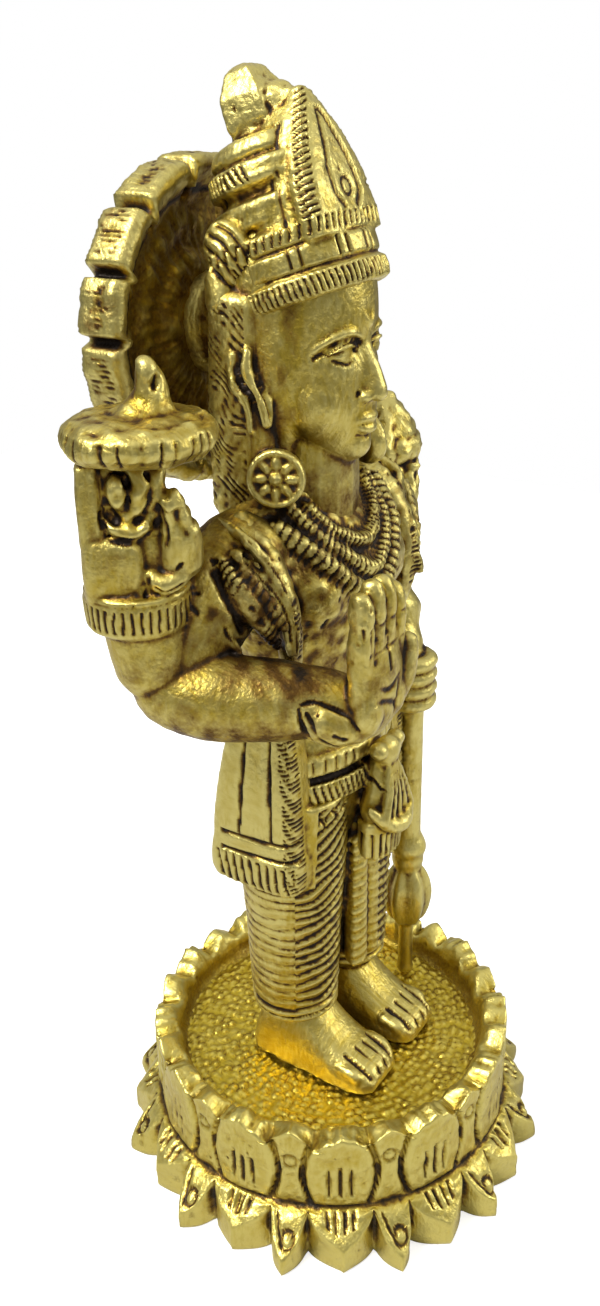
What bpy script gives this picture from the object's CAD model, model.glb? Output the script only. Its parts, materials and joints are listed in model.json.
import json
import math

import bpy
import numpy as np
from mathutils import Matrix, Vector
from mathutils.bvhtree import BVHTree
from mathutils.kdtree import KDTree

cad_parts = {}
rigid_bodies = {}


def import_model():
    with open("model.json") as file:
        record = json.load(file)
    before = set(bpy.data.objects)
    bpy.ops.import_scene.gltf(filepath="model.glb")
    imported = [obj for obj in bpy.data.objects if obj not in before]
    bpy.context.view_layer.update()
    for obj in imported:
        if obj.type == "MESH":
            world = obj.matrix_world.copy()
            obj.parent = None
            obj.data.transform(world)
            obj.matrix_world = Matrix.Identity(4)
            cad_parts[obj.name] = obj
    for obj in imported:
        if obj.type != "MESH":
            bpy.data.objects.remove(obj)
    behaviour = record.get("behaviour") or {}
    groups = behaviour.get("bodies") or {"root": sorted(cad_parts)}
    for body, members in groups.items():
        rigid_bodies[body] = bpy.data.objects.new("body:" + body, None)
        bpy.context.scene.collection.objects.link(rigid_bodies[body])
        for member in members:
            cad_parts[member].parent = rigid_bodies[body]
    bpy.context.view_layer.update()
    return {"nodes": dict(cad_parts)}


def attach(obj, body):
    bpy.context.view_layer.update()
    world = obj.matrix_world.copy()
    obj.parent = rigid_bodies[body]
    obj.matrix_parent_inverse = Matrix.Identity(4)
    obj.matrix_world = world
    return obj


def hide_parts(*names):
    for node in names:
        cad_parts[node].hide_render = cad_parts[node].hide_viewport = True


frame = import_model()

# Modelled in millimetres, the figure with its soles at height 0, and brought to metres and to its height at the end
soleHeight = 12.6
millimetre = 0.001
mergeGap = 0.0006


def deselectAll():
    bpy.ops.object.select_all(action="DESELECT")


def use(piece):
    deselectAll()
    piece.select_set(True)
    bpy.context.view_layer.objects.active = piece


def smoothRows(rows, steps):
    rows = np.array(rows, float)
    ends = np.vstack([2 * rows[0] - rows[1], rows, 2 * rows[-1] - rows[-2]])
    out = []
    for i in range(len(rows) - 1):
        a, b, c, d = ends[i:i + 4]
        for t in np.arange(steps) / steps:
            bend = (2 * a - 5 * b + 4 * c - d) * t**2 + (3 * b - a - 3 * c + d) * t**3
            out.append(0.5 * (2 * b + (c - a) * t + bend))
    return np.array(out + [rows[-1]])


# A limb's rounded end: how far past its last station and how wide, as shares of the radius there
roundEnd = ((0.36, 0.87), (0.62, 0.5), (0.72, 0.15))


# A limb or cord: a bevelled curve through stations [x, y, z, radius] with rounded ends.
# squash flattens its section along x, y and z and leaves its path where it is.
def limb(stations, squash=(1, 1, 1), fine=6):
    squash = np.array(squash, float)
    rows = np.array(stations, float)
    middle = rows[:, :3].mean(0)
    path = middle + (rows[:, :3] - middle) / squash
    knots = [(place, radius) for place, radius in zip(path, rows[:, 3])]
    for tip, nextTo in ((0, 1), (-1, -2)):
        away = path[tip] - path[nextTo]
        away /= np.linalg.norm(away)
        radius = rows[tip, 3]
        cap = [(path[tip] + away * radius * push, radius * share) for push, share in roundEnd]
        knots = cap[::-1] + knots if tip == 0 else knots + cap
    bpy.ops.curve.primitive_bezier_curve_add(location=(0, 0, 0))
    piece = bpy.context.object
    spline = piece.data.splines[0]
    spline.bezier_points.add(len(knots) - 2)
    for point, (place, radius) in zip(spline.bezier_points, knots):
        point.co = place
        point.radius = radius
        point.handle_left_type = point.handle_right_type = "AUTO"
    piece.data.bevel_depth = 1
    piece.data.bevel_resolution = fine
    piece.data.resolution_u = 4
    piece.data.use_fill_caps = True
    bpy.ops.object.convert(target="MESH")
    move = Matrix.Translation(middle)
    piece.data.transform(move @ Matrix.Diagonal((*squash, 1)) @ move.inverted())
    return piece


# A circle drawn upwards through level oval sections [height, half width, half depth, middle in y, middle in x].
# square makes the ovals boxier, and lobes gives their reach round the turn.
def stack(sections, sides=48, steps=4, square=0, lobes=None):
    rows = smoothRows([list(s) + [0] * (5 - len(s)) for s in sections], steps)
    z, wide, deep, y, x = rows[0]
    bpy.ops.mesh.primitive_circle_add(vertices=sides, radius=1, fill_type="NGON", location=(x, y, z))
    piece = bpy.context.object
    for vertex in piece.data.vertices:
        turn = math.atan2(vertex.co.y, vertex.co.x)
        if square:
            vertex.co *= (abs(math.cos(turn)) ** square + abs(math.sin(turn)) ** square) ** (-1 / square)
        if lobes:
            vertex.co *= lobes(turn)
    piece.scale = (wide, deep, 1)
    bpy.ops.object.transform_apply(location=True, rotation=True, scale=True)
    bpy.ops.object.mode_set(mode="EDIT")
    bpy.ops.mesh.select_all(action="SELECT")
    for low, high in zip(rows[:-1], rows[1:]):
        step = (high[4] - low[4], high[3] - low[3], high[0] - low[0])
        bpy.ops.mesh.extrude_region_move(TRANSFORM_OT_translate={"value": step})
        grow = (high[1] / low[1], high[2] / low[2], 1)
        bpy.ops.transform.resize(value=grow, center_override=(high[4], high[3], high[0]))
    bpy.ops.mesh.select_all(action="SELECT")
    bpy.ops.mesh.normals_make_consistent(inside=False)
    bpy.ops.object.mode_set(mode="OBJECT")
    return piece


# A profile [radius, height] from axis to axis, spun round the upright axis
def turned(profile, sides=64):
    bpy.ops.mesh.primitive_plane_add(size=0.1, location=(0, 0, profile[0][1]))
    piece = bpy.context.object
    bpy.ops.object.transform_apply(location=True, rotation=True, scale=True)
    bpy.ops.object.mode_set(mode="EDIT")
    bpy.ops.mesh.select_mode(type="VERT")
    bpy.ops.mesh.select_all(action="SELECT")
    bpy.ops.mesh.merge(type="CENTER")
    for (nearR, low), (farR, high) in zip(profile[:-1], profile[1:]):
        bpy.ops.mesh.extrude_region_move(TRANSFORM_OT_translate={"value": (farR - nearR, 0, high - low)})
    bpy.ops.mesh.select_all(action="SELECT")
    bpy.ops.mesh.spin(steps=sides, angle=2 * math.pi, center=(0, 0, 0), axis=(0, 0, 1))
    bpy.ops.mesh.select_all(action="SELECT")
    bpy.ops.mesh.remove_doubles(threshold=mergeGap)
    bpy.ops.mesh.normals_make_consistent(inside=False)
    bpy.ops.object.mode_set(mode="OBJECT")
    return piece


def ball(centre, radii, sides=16):
    bpy.ops.mesh.primitive_uv_sphere_add(segments=sides, ring_count=sides // 2, radius=1, location=centre)
    piece = bpy.context.object
    piece.scale = radii if isinstance(radii, tuple) else (radii, radii, radii)
    bpy.ops.object.transform_apply(location=True, rotation=True, scale=True)
    return piece


def placed(piece, turnX=0, turnY=0, turnZ=0, shift=(0, 0, 0)):
    turn = Matrix.Rotation(math.radians(turnZ), 4, "Z") @ Matrix.Rotation(math.radians(turnY), 4, "Y")
    piece.data.transform(Matrix.Translation(shift) @ turn @ Matrix.Rotation(math.radians(turnX), 4, "X"))
    return piece


def copied(piece, mirror=False):
    twin = piece.copy()
    twin.data = piece.data.copy()
    bpy.context.scene.collection.objects.link(twin)
    if mirror:
        twin.data.transform(Matrix.Scale(-1, 4, (1, 0, 0)))
        twin.data.flip_normals()
    return twin


def bothSides(pieces):
    return pieces + [copied(piece, True) for piece in pieces]


# Closed pockets inside the metal are taken out
def dropPockets(piece):
    mesh = piece.data
    while True:
        use(piece)
        bpy.ops.object.mode_set(mode="EDIT")
        bpy.ops.mesh.select_mode(type="VERT")
        bpy.ops.mesh.select_all(action="DESELECT")
        bpy.ops.object.mode_set(mode="OBJECT")
        mesh.vertices[0].select = True
        bpy.ops.object.mode_set(mode="EDIT")
        bpy.ops.mesh.select_linked()
        bpy.ops.object.mode_set(mode="OBJECT")
        picked = sum(v.select for v in mesh.vertices)
        if picked == len(mesh.vertices):
            break
        bpy.ops.object.mode_set(mode="EDIT")
        if picked > len(mesh.vertices) / 2:
            bpy.ops.mesh.select_all(action="INVERT")
        bpy.ops.mesh.delete(type="VERT")
        bpy.ops.object.mode_set(mode="OBJECT")


# The pieces melt into one skin of even grain, and its joints soften
def cast(name, pieces, grain, softness=4):
    deselectAll()
    for piece in pieces:
        piece.select_set(True)
    bpy.context.view_layer.objects.active = pieces[0]
    bpy.ops.object.join()
    piece = bpy.context.object
    piece.name = piece.data.name = name
    melt = piece.modifiers.new("melt", "REMESH")
    melt.mode = "VOXEL"
    melt.voxel_size = grain
    bpy.ops.object.modifier_apply(modifier="melt")
    soften = piece.modifiers.new("soften", "SMOOTH")
    soften.factor = 0.5
    soften.iterations = softness
    bpy.ops.object.modifier_apply(modifier="soften")
    dropPockets(piece)
    return piece


def pointsOf(piece):
    mesh = piece.data
    co = np.empty(len(mesh.vertices) * 3)
    mesh.vertices.foreach_get("co", co)
    normals = np.empty(len(mesh.vertices) * 3)
    mesh.vertex_normals.foreach_get("vector", normals)
    return co.reshape(-1, 3), normals.reshape(-1, 3)


def setPoints(piece, co):
    piece.data.vertices.foreach_set("co", co.ravel())
    piece.data.update()


# Chasing: each tool gives how far the metal goes in (negative) or out at every point

def chase(piece, tool, onGround=False):
    co, normals = pointsOf(piece)
    co = co + normals * tool(co)[:, None]
    if onGround:
        co[:, 2] = np.maximum(co[:, 2], 0)
    setPoints(piece, co)


def ticks(u, pitch, sharp=3):
    return ((1 + np.cos(2 * math.pi * u / pitch)) / 2) ** sharp


def within(v, low, high, soft=0.15):
    return np.clip((v - low) / soft + 0.5, 0, 1) * np.clip((high - v) / soft + 0.5, 0, 1)


def ripple(co, size, seed):
    waves = np.random.default_rng(seed)
    total = np.zeros(len(co))
    for _ in range(9):
        way = waves.normal(size=3)
        way *= 2 * math.pi / size / np.linalg.norm(way) * waves.uniform(0.6, 1.5)
        total += np.sin(co @ way + waves.uniform(0, 6.3))
    return total / 4


def pits(co, size, seed, rare=0.75):
    return -np.clip(ripple(co, size, seed) - rare, 0, 1)


# Points near a line: which they are, how far from it, how far along it, and where on it
def nearLine(co, line, reach):
    line = np.array(line, float)
    which = np.nonzero(np.all((co > line.min(0) - reach) & (co < line.max(0) + reach), axis=1))[0]
    p = co[which]
    best = np.full(len(which), 1e9)
    along = np.zeros(len(which))
    foot = np.zeros((len(which), 3))
    run = 0
    for a, b in zip(line[:-1], line[1:]):
        step = b - a
        length = np.linalg.norm(step) + 1e-9
        t = np.clip((p - a) @ step / length**2, 0, 1)
        spot = a + t[:, None] * step
        far = np.linalg.norm(p - spot, axis=1)
        closer = far < best
        best[closer] = far[closer]
        along[closer] = run + t[closer] * length
        foot[closer] = spot[closer]
        run += length
    near = best < reach
    return which[near], best[near], along[near], foot[near]


def cut(co, line, width, depth, steps=5):
    out = np.zeros(len(co))
    which, far, _, _ = nearLine(co, smoothRows(line, steps) if len(line) > 2 else line, width)
    out[which] = -depth * (1 - (far / width) ** 2) ** 1.5
    return out


# Several cuts (line, width, depth), drawn for one side and turned over for the other
def cuts(co, table, side=1):
    return sum(cut(co, [[side * x, y, z] for x, y, z in line], width, depth) for line, width, depth in table)


def hatch(co, line, reach, pitch, depth, lean=0, sharp=3):
    out = np.zeros(len(co))
    which, far, along, foot = nearLine(co, smoothRows(line, 5), reach)
    slide = along + lean * (co[which, 2] - foot[:, 2]) + 0.05 * ripple(co[which], 3, 6)
    out[which] = -depth * ticks(slide, pitch, sharp) * np.clip((1 - far / reach) * 4, 0, 1)
    return out


# A straight cut on a flat chart of the surface, deepest in its middle
def chartCut(u, v, start, end, width, depth):
    (a, b), (c, d) = start, end
    length = (c - a) ** 2 + (d - b) ** 2
    t = np.clip(((u - a) * (c - a) + (v - b) * (d - b)) / length, 0, 1)
    far = np.hypot(u - a - t * (c - a), v - b - t * (d - b))
    taper = 0.45 + 0.55 * np.sin(math.pi * np.clip(t, 0.05, 0.95))
    return -depth * np.clip(1 - (far / (width * taper)) ** 2, 0, 1) ** 1.2


def chartRing(u, v, centre, radius, width, depth):
    far = np.abs(np.hypot(u - centre[0], v - centre[1]) - radius)
    return -depth * np.clip(1 - (far / width) ** 2, 0, 1)


# Patina: 0 is bright metal, 1 is the black that stays in a recess. Rubbed is high where hands and rag reach.

def edgesOf(piece):
    mesh = piece.data
    edges = np.empty(len(mesh.edges) * 2, np.int32)
    mesh.edges.foreach_get("vertices", edges)
    edges = edges.reshape(-1, 2)
    degree = np.maximum(np.bincount(edges.ravel(), minlength=len(mesh.vertices)), 1)
    return edges, degree


def relax(values, edges, degree, passes):
    for _ in range(passes):
        total = np.zeros_like(values)
        for k in range(values.shape[1]):
            total[:, k] += np.bincount(edges[:, 0], values[edges[:, 1], k], len(values))
            total[:, k] += np.bincount(edges[:, 1], values[edges[:, 0], k], len(values))
        values = (values + total / degree[:, None]) / 2
    return values


def shelterTree():
    points, faces = [], []
    for node in frame["nodes"].values():
        start = len(points)
        points += [v.co / millimetre for v in node.data.vertices]
        faces += [[k + start for k in p.vertices] for p in node.data.polygons]
    return BVHTree.FromPolygons(points, faces)


shelter = {
    "rays": 20,
    "reach": 13.0,
    "start": 1.1,
    "every": 14,
    "farLoss": 0.6,
    "goldenTurn": 2.39996,
    "tree": shelterTree(),
}


# The share of the sky that the rest of the object hides from each point
def sheltered(co, normals, rise):
    rays = []
    for k in range(shelter["rays"]):
        height = math.sqrt((k + 0.5) / shelter["rays"])
        across = math.sqrt(1 - height**2)
        turn = k * shelter["goldenTurn"]
        rays.append((math.cos(turn) * across, math.sin(turn) * across, height))
    picked = np.arange(0, len(co), shelter["every"])
    finder = KDTree(len(picked))
    hidden = []
    for n, k in enumerate(picked):
        normal = Vector(normals[k])
        side = normal.orthogonal().normalized()
        other = normal.cross(side)
        start = Vector(co[k]) + Vector((0, 0, rise)) + normal * shelter["start"]
        blocked = 0
        for x, y, z in rays:
            hit = shelter["tree"].ray_cast(start, side * x + other * y + normal * z, shelter["reach"])
            if hit[0]:
                blocked += 1 - shelter["farLoss"] * hit[3] / shelter["reach"]
        hidden.append(blocked / len(rays))
        finder.insert(co[k], n)
    finder.balance()
    return np.array([hidden[finder.find(p)[1]] for p in co])


# Fine hollows are the cuts and strokes, broad ones the folds; passes is how far each is smoothed to find it
wear = {
    "finePasses": 4,
    "broadPasses": 26,
    "hiddenPasses": 12,
    "fineDark": 12,
    "fineMost": 0.75,
    "broadDark": 3.0,
    "broadRange": (-0.25, 0.6),
    "openSky": 0.42,
    "hiddenDark": 0.7,
    "leastRub": 0.12,
    "fineRub": 4,
    "broadRub": 3.5,
    "hiddenRub": 0.6,
}


def age(piece, rise, zone, rub, darkest):
    co, normals = pointsOf(piece)
    edges, degree = edgesOf(piece)
    fine = np.einsum("ij,ij->i", relax(co, edges, degree, wear["finePasses"]) - co, normals)
    broad = np.einsum("ij,ij->i", relax(co, edges, degree, wear["broadPasses"]) - co, normals)
    hidden = relax(sheltered(co, normals, rise)[:, None], edges, degree, wear["hiddenPasses"])[:, 0]
    dark = np.clip(fine * wear["fineDark"] - 0.05, 0, wear["fineMost"])
    dark = dark + np.clip(broad * wear["broadDark"], *wear["broadRange"])
    dark = dark + np.clip(hidden - wear["openSky"], 0, 1) * wear["hiddenDark"]
    dark = dark + zone * (1 + 0.3 * ripple(co, 2.6, 23))
    dark = np.clip(dark + 0.1 * ripple(co, 3.0, 21) * (dark > 0.1), 0, darkest)
    rubbed = rub + wear["leastRub"] - wear["hiddenRub"] * hidden
    rubbed = rubbed - broad * wear["broadRub"] - fine * wear["fineRub"]
    rubbed = np.clip(rubbed + 0.14 * ripple(co, 7.0, 22), 0, 1)
    for name, values in (("patina", dark), ("rubbed", rubbed)):
        layer = piece.data.attributes.new(name, "FLOAT", "POINT")
        layer.data.foreach_set("value", values.astype(np.float32))


def finishPiece(piece, node, slot, finish, rise=soleHeight, zone=0, rub=0.5, darkest=1):
    age(piece, rise, zone, rub, darkest)
    piece.data.transform(Matrix.Scale(millimetre, 4) @ Matrix.Translation((0, 0, rise)))
    use(piece)
    bpy.ops.object.shade_smooth()
    piece.data.materials.clear()
    piece.data.materials.append(finish)
    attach(piece, "root")
    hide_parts(node)
    print(piece.name, "finished with", sum(len(p.vertices) - 2 for p in piece.data.polygons), "triangles")


figureLook = {
    "rubbed": (0.66, 0.56, 0.18, 1),
    "plain": (0.46, 0.335, 0.044, 1),
    "brown": (0.155, 0.076, 0.010, 1),
    "black": (0.016, 0.009, 0.004, 1),
    "shine": 0.39,
}
pedestalLook = {
    "rubbed": (0.66, 0.555, 0.16, 1),
    "plain": (0.51, 0.38, 0.052, 1),
    "brown": (0.19, 0.105, 0.012, 1),
    "black": (0.018, 0.011, 0.004, 1),
    "shine": 0.37,
}
dishLook = {
    "rubbed": (0.68, 0.54, 0.10, 1),
    "plain": (0.55, 0.40, 0.032, 1),
    "brown": (0.22, 0.125, 0.008, 1),
    "black": (0.03, 0.018, 0.004, 1),
    "shine": 0.34,
}


# The metal's skin: the sizes of its noises (higher is finer), what they do, and the depth of the marks in metres
skin = {
    "grain": 2600,
    "blotch": 330,
    "across": 3300,
    "along": 3000,
    "patch": 150,
    "rawCast": 1500,
    "mottle": 0.45,
    "speckle": 0.5,
    "brownRange": (0.08, 0.55),
    "blackRange": (0.45, 0.9),
    "bumpStrength": 0.5,
    "bumpDepth": 0.00011,
}


# Bright yellow brass, paler where it is rubbed, brown where it is worn less and black in the cuts
def brass(name, look):
    material = bpy.data.materials.new(name)
    material.use_nodes = True
    nodes, links = material.node_tree.nodes, material.node_tree.links
    shader = nodes["Principled BSDF"]
    place = nodes.new("ShaderNodeTexCoord")

    def layer(called):
        node = nodes.new("ShaderNodeAttribute")
        node.attribute_name = called
        return node.outputs["Fac"]

    def cloud(size, detail, stretch=(1, 1, 1), turn=(0.5, 0.3, 0.2), warp=0):
        mapping = nodes.new("ShaderNodeMapping")
        mapping.inputs["Scale"].default_value = stretch
        mapping.inputs["Rotation"].default_value = turn
        links.new(place.outputs["Object"], mapping.inputs["Vector"])
        noise = nodes.new("ShaderNodeTexNoise")
        noise.inputs["Scale"].default_value = size
        noise.inputs["Detail"].default_value = detail
        noise.inputs["Distortion"].default_value = warp
        links.new(mapping.outputs["Vector"], noise.inputs["Vector"])
        return noise.outputs["Fac"]

    def sums(kind, a, b, clamp=False):
        node = nodes.new("ShaderNodeMath")
        node.operation = kind
        node.use_clamp = clamp
        for socket, value in zip(node.inputs, (a, b)):
            if isinstance(value, (int, float)):
                socket.default_value = value
            else:
                links.new(value, socket)
        return node.outputs[0]

    def spread(value, low, high, least=0.0, most=1.0):
        node = nodes.new("ShaderNodeMapRange")
        for called, number in (("From Min", low), ("From Max", high), ("To Min", least), ("To Max", most)):
            node.inputs[called].default_value = number
        links.new(value, node.inputs["Value"])
        return node.outputs["Result"]

    def mixed(under, over, share):
        node = nodes.new("ShaderNodeMix")
        node.data_type = "RGBA"
        links.new(share, node.inputs["Factor"])
        for socket, value in ((node.inputs[6], under), (node.inputs[7], over)):
            if isinstance(value, tuple):
                socket.default_value = value
            else:
                links.new(value, socket)
        return node.outputs[2]

    grain = cloud(skin["grain"], 4)
    blotch = cloud(skin["blotch"], 3)
    # File and brush marks: two sets of fine strokes, one or the other in each patch
    across = cloud(skin["across"], 3, (1, 0.08, 0.3), (0.5, 0.3, 0.6))
    along = cloud(skin["along"], 3, (0.09, 1, 0.35), (0.2, 0.5, 0.3))
    patch = spread(cloud(skin["patch"], 1, (1, 1, 1), (0.1, 0.9, 0.4)), 0.46, 0.54)
    crossed = sums("MULTIPLY", across, sums("SUBTRACT", 1.0, patch))
    strokes = sums("ADD", sums("MULTIPLY", along, patch), crossed)
    mottle = sums("MULTIPLY", sums("SUBTRACT", blotch, 0.5), skin["mottle"])
    speckle = sums("MULTIPLY", sums("SUBTRACT", grain, 0.5), skin["speckle"])
    dark = sums("ADD", sums("ADD", layer("patina"), mottle), speckle, True)
    bright = sums("ADD", layer("rubbed"), sums("MULTIPLY", mottle, 1.3))
    bright = sums("ADD", bright, sums("MULTIPLY", sums("SUBTRACT", strokes, 0.5), 1.6), True)
    tone = mixed(look["plain"], look["rubbed"], bright)
    tone = mixed(tone, look["brown"], spread(dark, *skin["brownRange"]))
    tone = mixed(tone, look["black"], spread(dark, *skin["blackRange"]))
    links.new(tone, shader.inputs["Base Color"])
    rough = sums("ADD", look["shine"], sums("MULTIPLY", dark, 0.08))
    rough = sums("ADD", rough, sums("MULTIPLY", sums("SUBTRACT", grain, 0.5), 0.3), True)
    links.new(rough, shader.inputs["Roughness"])
    links.new(sums("SUBTRACT", 1.0, sums("MULTIPLY", dark, 0.35), True), shader.inputs["Metallic"])
    bump = nodes.new("ShaderNodeBump")
    bump.inputs["Strength"].default_value = skin["bumpStrength"]
    bump.inputs["Distance"].default_value = skin["bumpDepth"]
    rawCast = sums("MULTIPLY", sums("MULTIPLY", dark, cloud(skin["rawCast"], 4)), 3.5)
    links.new(sums("ADD", sums("ADD", strokes, sums("MULTIPLY", grain, 0.8)), rawCast), bump.inputs["Height"])
    links.new(bump.outputs["Normal"], shader.inputs["Normal"])
    return material


figureBrass = brass("figure brass", figureLook)
pedestalBrass = brass("pedestal brass", pedestalLook)
dishBrass = brass("dish brass", dishLook)

# Head and hair

headForm = {
    "grain": 0.195,
    "faceWidth": 12.4,
    "hairLine": 86.0,
    "skullTop": 90.0,
    "middle": 1.8,
    "combPitch": 0.74,
    "combDepth": 0.15,
}
chin = headForm["hairLine"] - 1.4 * headForm["faceWidth"]
faceHeight = headForm["hairLine"] - chin
browLevel = chin + 2 * faceHeight / 3
noseLevel = chin + faceHeight / 3
mouthLevel = noseLevel - faceHeight / 9
eyeLevel = (chin + headForm["skullTop"]) / 2 - faceHeight / 40
eyeX = headForm["faceWidth"] / 5
front = headForm["middle"] - 6.4


# The head's broad planes, softened before its features go on
def faceCore():
    m = headForm["middle"]
    skull = stack([
        [chin - 0.2, 1.5, 1.6, m - 3.0], [chin + 0.6, 2.5, 2.9, m - 2.4],
        [chin + 0.1 * faceHeight, 3.6, 4.2, m - 1.6],
        [chin + 0.25 * faceHeight, 5.1, 5.9, m - 0.5], [chin + 0.42 * faceHeight, 5.9, 6.4, m],
        [chin + 0.7 * faceHeight, 6.2, 6.7, m + 0.3], [headForm["hairLine"], 6.0, 6.4, m + 0.6],
        [headForm["skullTop"] - 1, 4.4, 4.8, m + 1.6],
    ], 64)
    bridge = limb([
        [0, front + 1.0, browLevel + 0.6, 0.8], [0, front + 0.4, browLevel - 1.4, 0.78],
        [0, front - 0.3, noseLevel + 2.2, 0.92], [0, front - 0.75, noseLevel + 0.8, 1.0],
    ])
    chinBall = ball((0, front + 1.9, chin + 1.7), (2.0, 1.8, 1.7), 24)
    muzzle = ball((0, front + 2.5, mouthLevel + 0.2), (2.8, 2.0, 2.2), 24)
    cheek = ball((-2.6, front + 4.3, noseLevel + 0.1), (3.2, 3.4, 3.9), 28)
    beside = ball((-4.7, 2.6, eyeLevel - 1.5), (2.6, 3.4, 8.0), 28)
    core = cast("face core", [skull, bridge, chinBall, muzzle] + bothSides([cheek, beside]), 0.22, 14)
    co, _ = pointsOf(core)
    for side in (-1, 1):
        socket = ((co[:, 0] - side * eyeX) / 2.0) ** 2 + ((co[:, 2] - eyeLevel - 0.5) / 1.2) ** 2
        co[:, 1] += np.where(co[:, 1] < headForm["middle"], 0.7 * np.exp(-socket), 0)
    setPoints(core, co)
    return core


def features():
    tip = ball((0, front - 0.75, noseLevel + 0.7), (1.0, 0.9, 0.8))
    wing = ball((-1.05, front + 0.1, noseLevel + 0.45), (0.62, 0.85, 0.6))
    upperLip = limb([
        [-2.0, front + 0.85, mouthLevel + 0.05, 0.16], [-1.0, front + 0.12, mouthLevel + 0.38, 0.36],
        [0, front - 0.06, mouthLevel + 0.34, 0.42], [1.0, front + 0.12, mouthLevel + 0.38, 0.36],
        [2.0, front + 0.85, mouthLevel + 0.05, 0.16],
    ], fine=4)
    lowerLip = limb([
        [-1.7, front + 0.75, mouthLevel - 0.22, 0.16], [-0.8, front + 0.16, mouthLevel - 0.58, 0.42],
        [0, front + 0.02, mouthLevel - 0.64, 0.5], [0.8, front + 0.16, mouthLevel - 0.58, 0.42],
        [1.7, front + 0.75, mouthLevel - 0.22, 0.16],
    ], fine=4)
    eyeball = ball((-eyeX, front + 1.7, eyeLevel), (1.5, 1.0, 0.8), 20)
    upperLid = limb([
        [-eyeX - 2.0, front + 2.05, eyeLevel - 0.1, 0.18], [-eyeX - 0.9, front + 1.0, eyeLevel + 0.6, 0.3],
        [-eyeX, front + 0.72, eyeLevel + 0.8, 0.34], [-eyeX + 0.9, front + 0.8, eyeLevel + 0.5, 0.3],
        [-eyeX + 1.5, front + 1.15, eyeLevel - 0.15, 0.2],
    ], fine=3)
    lowerLid = limb([
        [-eyeX - 1.6, front + 1.85, eyeLevel - 0.2, 0.15], [-eyeX - 0.6, front + 1.1, eyeLevel - 0.66, 0.22],
        [-eyeX + 0.4, front + 0.95, eyeLevel - 0.7, 0.22], [-eyeX + 1.4, front + 1.2, eyeLevel - 0.25, 0.15],
    ], fine=3)
    brow = limb([
        [-eyeX - 2.6, front + 3.0, browLevel - 1.0, 0.2], [-eyeX - 1.2, front + 1.35, browLevel + 0.2, 0.36],
        [-eyeX + 0.2, front + 0.65, browLevel + 0.45, 0.4], [-0.9, front + 0.6, browLevel - 0.1, 0.3],
    ], fine=3)
    # The U-shaped mark down the middle of the brow
    half = [
        [-0.8, front + 0.62, headForm["hairLine"] - 0.8, 0.3], [-0.78, front + 0.4, browLevel + 2.4, 0.32],
        [-0.5, front + 0.2, browLevel + 1.3, 0.32],
    ]
    base = [[0, front + 0.12, browLevel + 1.0, 0.32]]
    mark = limb(half + base + [[-x, y, z, r] for x, y, z, r in half[::-1]], fine=4)
    return [tip, upperLip, lowerLip, mark] + bothSides([wing, eyeball, upperLid, lowerLid, brow])


# The S-shaped lock before the ear, the thin ones on either side of it and the hollows between them
lockLines = [
    [[-7.9, 3.2, 79.4, 0.4], [-8.1, 3.2, 77.5, 0.65], [-7.8, 2.5, 76.0, 0.8], [-7.7, 1.7, 74.8, 0.75],
     [-7.6, 1.5, 73.0, 0.45]],
    [[-8.0, 4.7, 79.0, 0.35], [-8.1, 4.8, 77.6, 0.5], [-8.2, 4.2, 76.2, 0.6], [-8.0, 3.4, 75.2, 0.6],
     [-7.7, 3.2, 73.9, 0.5], [-7.8, 3.1, 72.3, 0.3]],
]
hollows = [
    [[-8.5, 3.9, 79.0], [-8.6, 4.0, 77.8], [-8.6, 3.4, 76.5], [-8.4, 2.6, 75.5], [-8.1, 2.4, 74.2],
     [-8.1, 2.4, 72.4]],
    [[-7.7, 2.0, 78.6], [-7.8, 1.9, 76.7], [-7.8, 1.1, 75.2], [-7.7, 0.5, 73.4], [-7.6, 0.3, 71.8]],
]


def hair():
    back = stack([
        [62.2, 6.6, 2.4, 6.2], [63.6, 7.7, 3.8, 5.6], [66, 8.2, 4.6, 5.1], [71, 7.5, 5.0, 4.7],
        [82, 7.3, 6.0, 3.7], [87, 6.6, 6.2, 3.6], [90, 5.0, 5.0, 4.0],
    ], 64)
    slab = limb([[-7.0, 5.3, 83, 1.6], [-7.2, 5.4, 76, 1.7], [-7.3, 5.5, 70, 1.7], [-7.4, 5.6, 64.6, 1.5]],
                (0.7, 1.5, 1))
    temple = limb([[-5.0, 4.2, 84, 1.5], [-5.6, 4.2, 81, 1.6], [-6.3, 4.2, 77.5, 1.6], [-6.5, 3.8, 73, 1.6],
                   [-6.8, 3.2, 70, 1.3]], (0.8, 1.4, 1))
    nape = limb([[-2.2, 9.3, 67, 1.2], [-2.4, 9.0, 64.2, 1.1], [-2.6, 8.6, 62.6, 0.5]])
    others = []
    for x in (-3.6, -1.2, 1.2, 3.6, 5.6):
        others.append(placed(copied(nape), shift=(x, -abs(x - 2.2) ** 2 * 0.06, 0)))
    return [back, nape] + others + bothSides([slab, temple] + [limb(line, fine=4) for line in lockLines])


# A flower in a raised rim, modelled flat and turned to the side
def earring():
    plate = turned([[0, -1.4], [2.3, -1.4], [2.65, -0.7], [2.65, 0.1], [2.35, 0.42], [1.95, 0.0], [0.5, -0.3],
                    [0, -0.3]], 40)
    pieces = [plate, ball((0, 0, 0.1), (0.6, 0.6, 0.6))]
    petal = ball((1.4, 0, -0.05), (0.72, 0.4, 0.42), 12)
    pieces.append(petal)
    for k in range(1, 8):
        pieces.append(placed(copied(petal), turnZ=45 * k))
    return [placed(piece, turnY=-82, turnZ=24, shift=(-8.4, 0.2, 68.5)) for piece in pieces]


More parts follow.
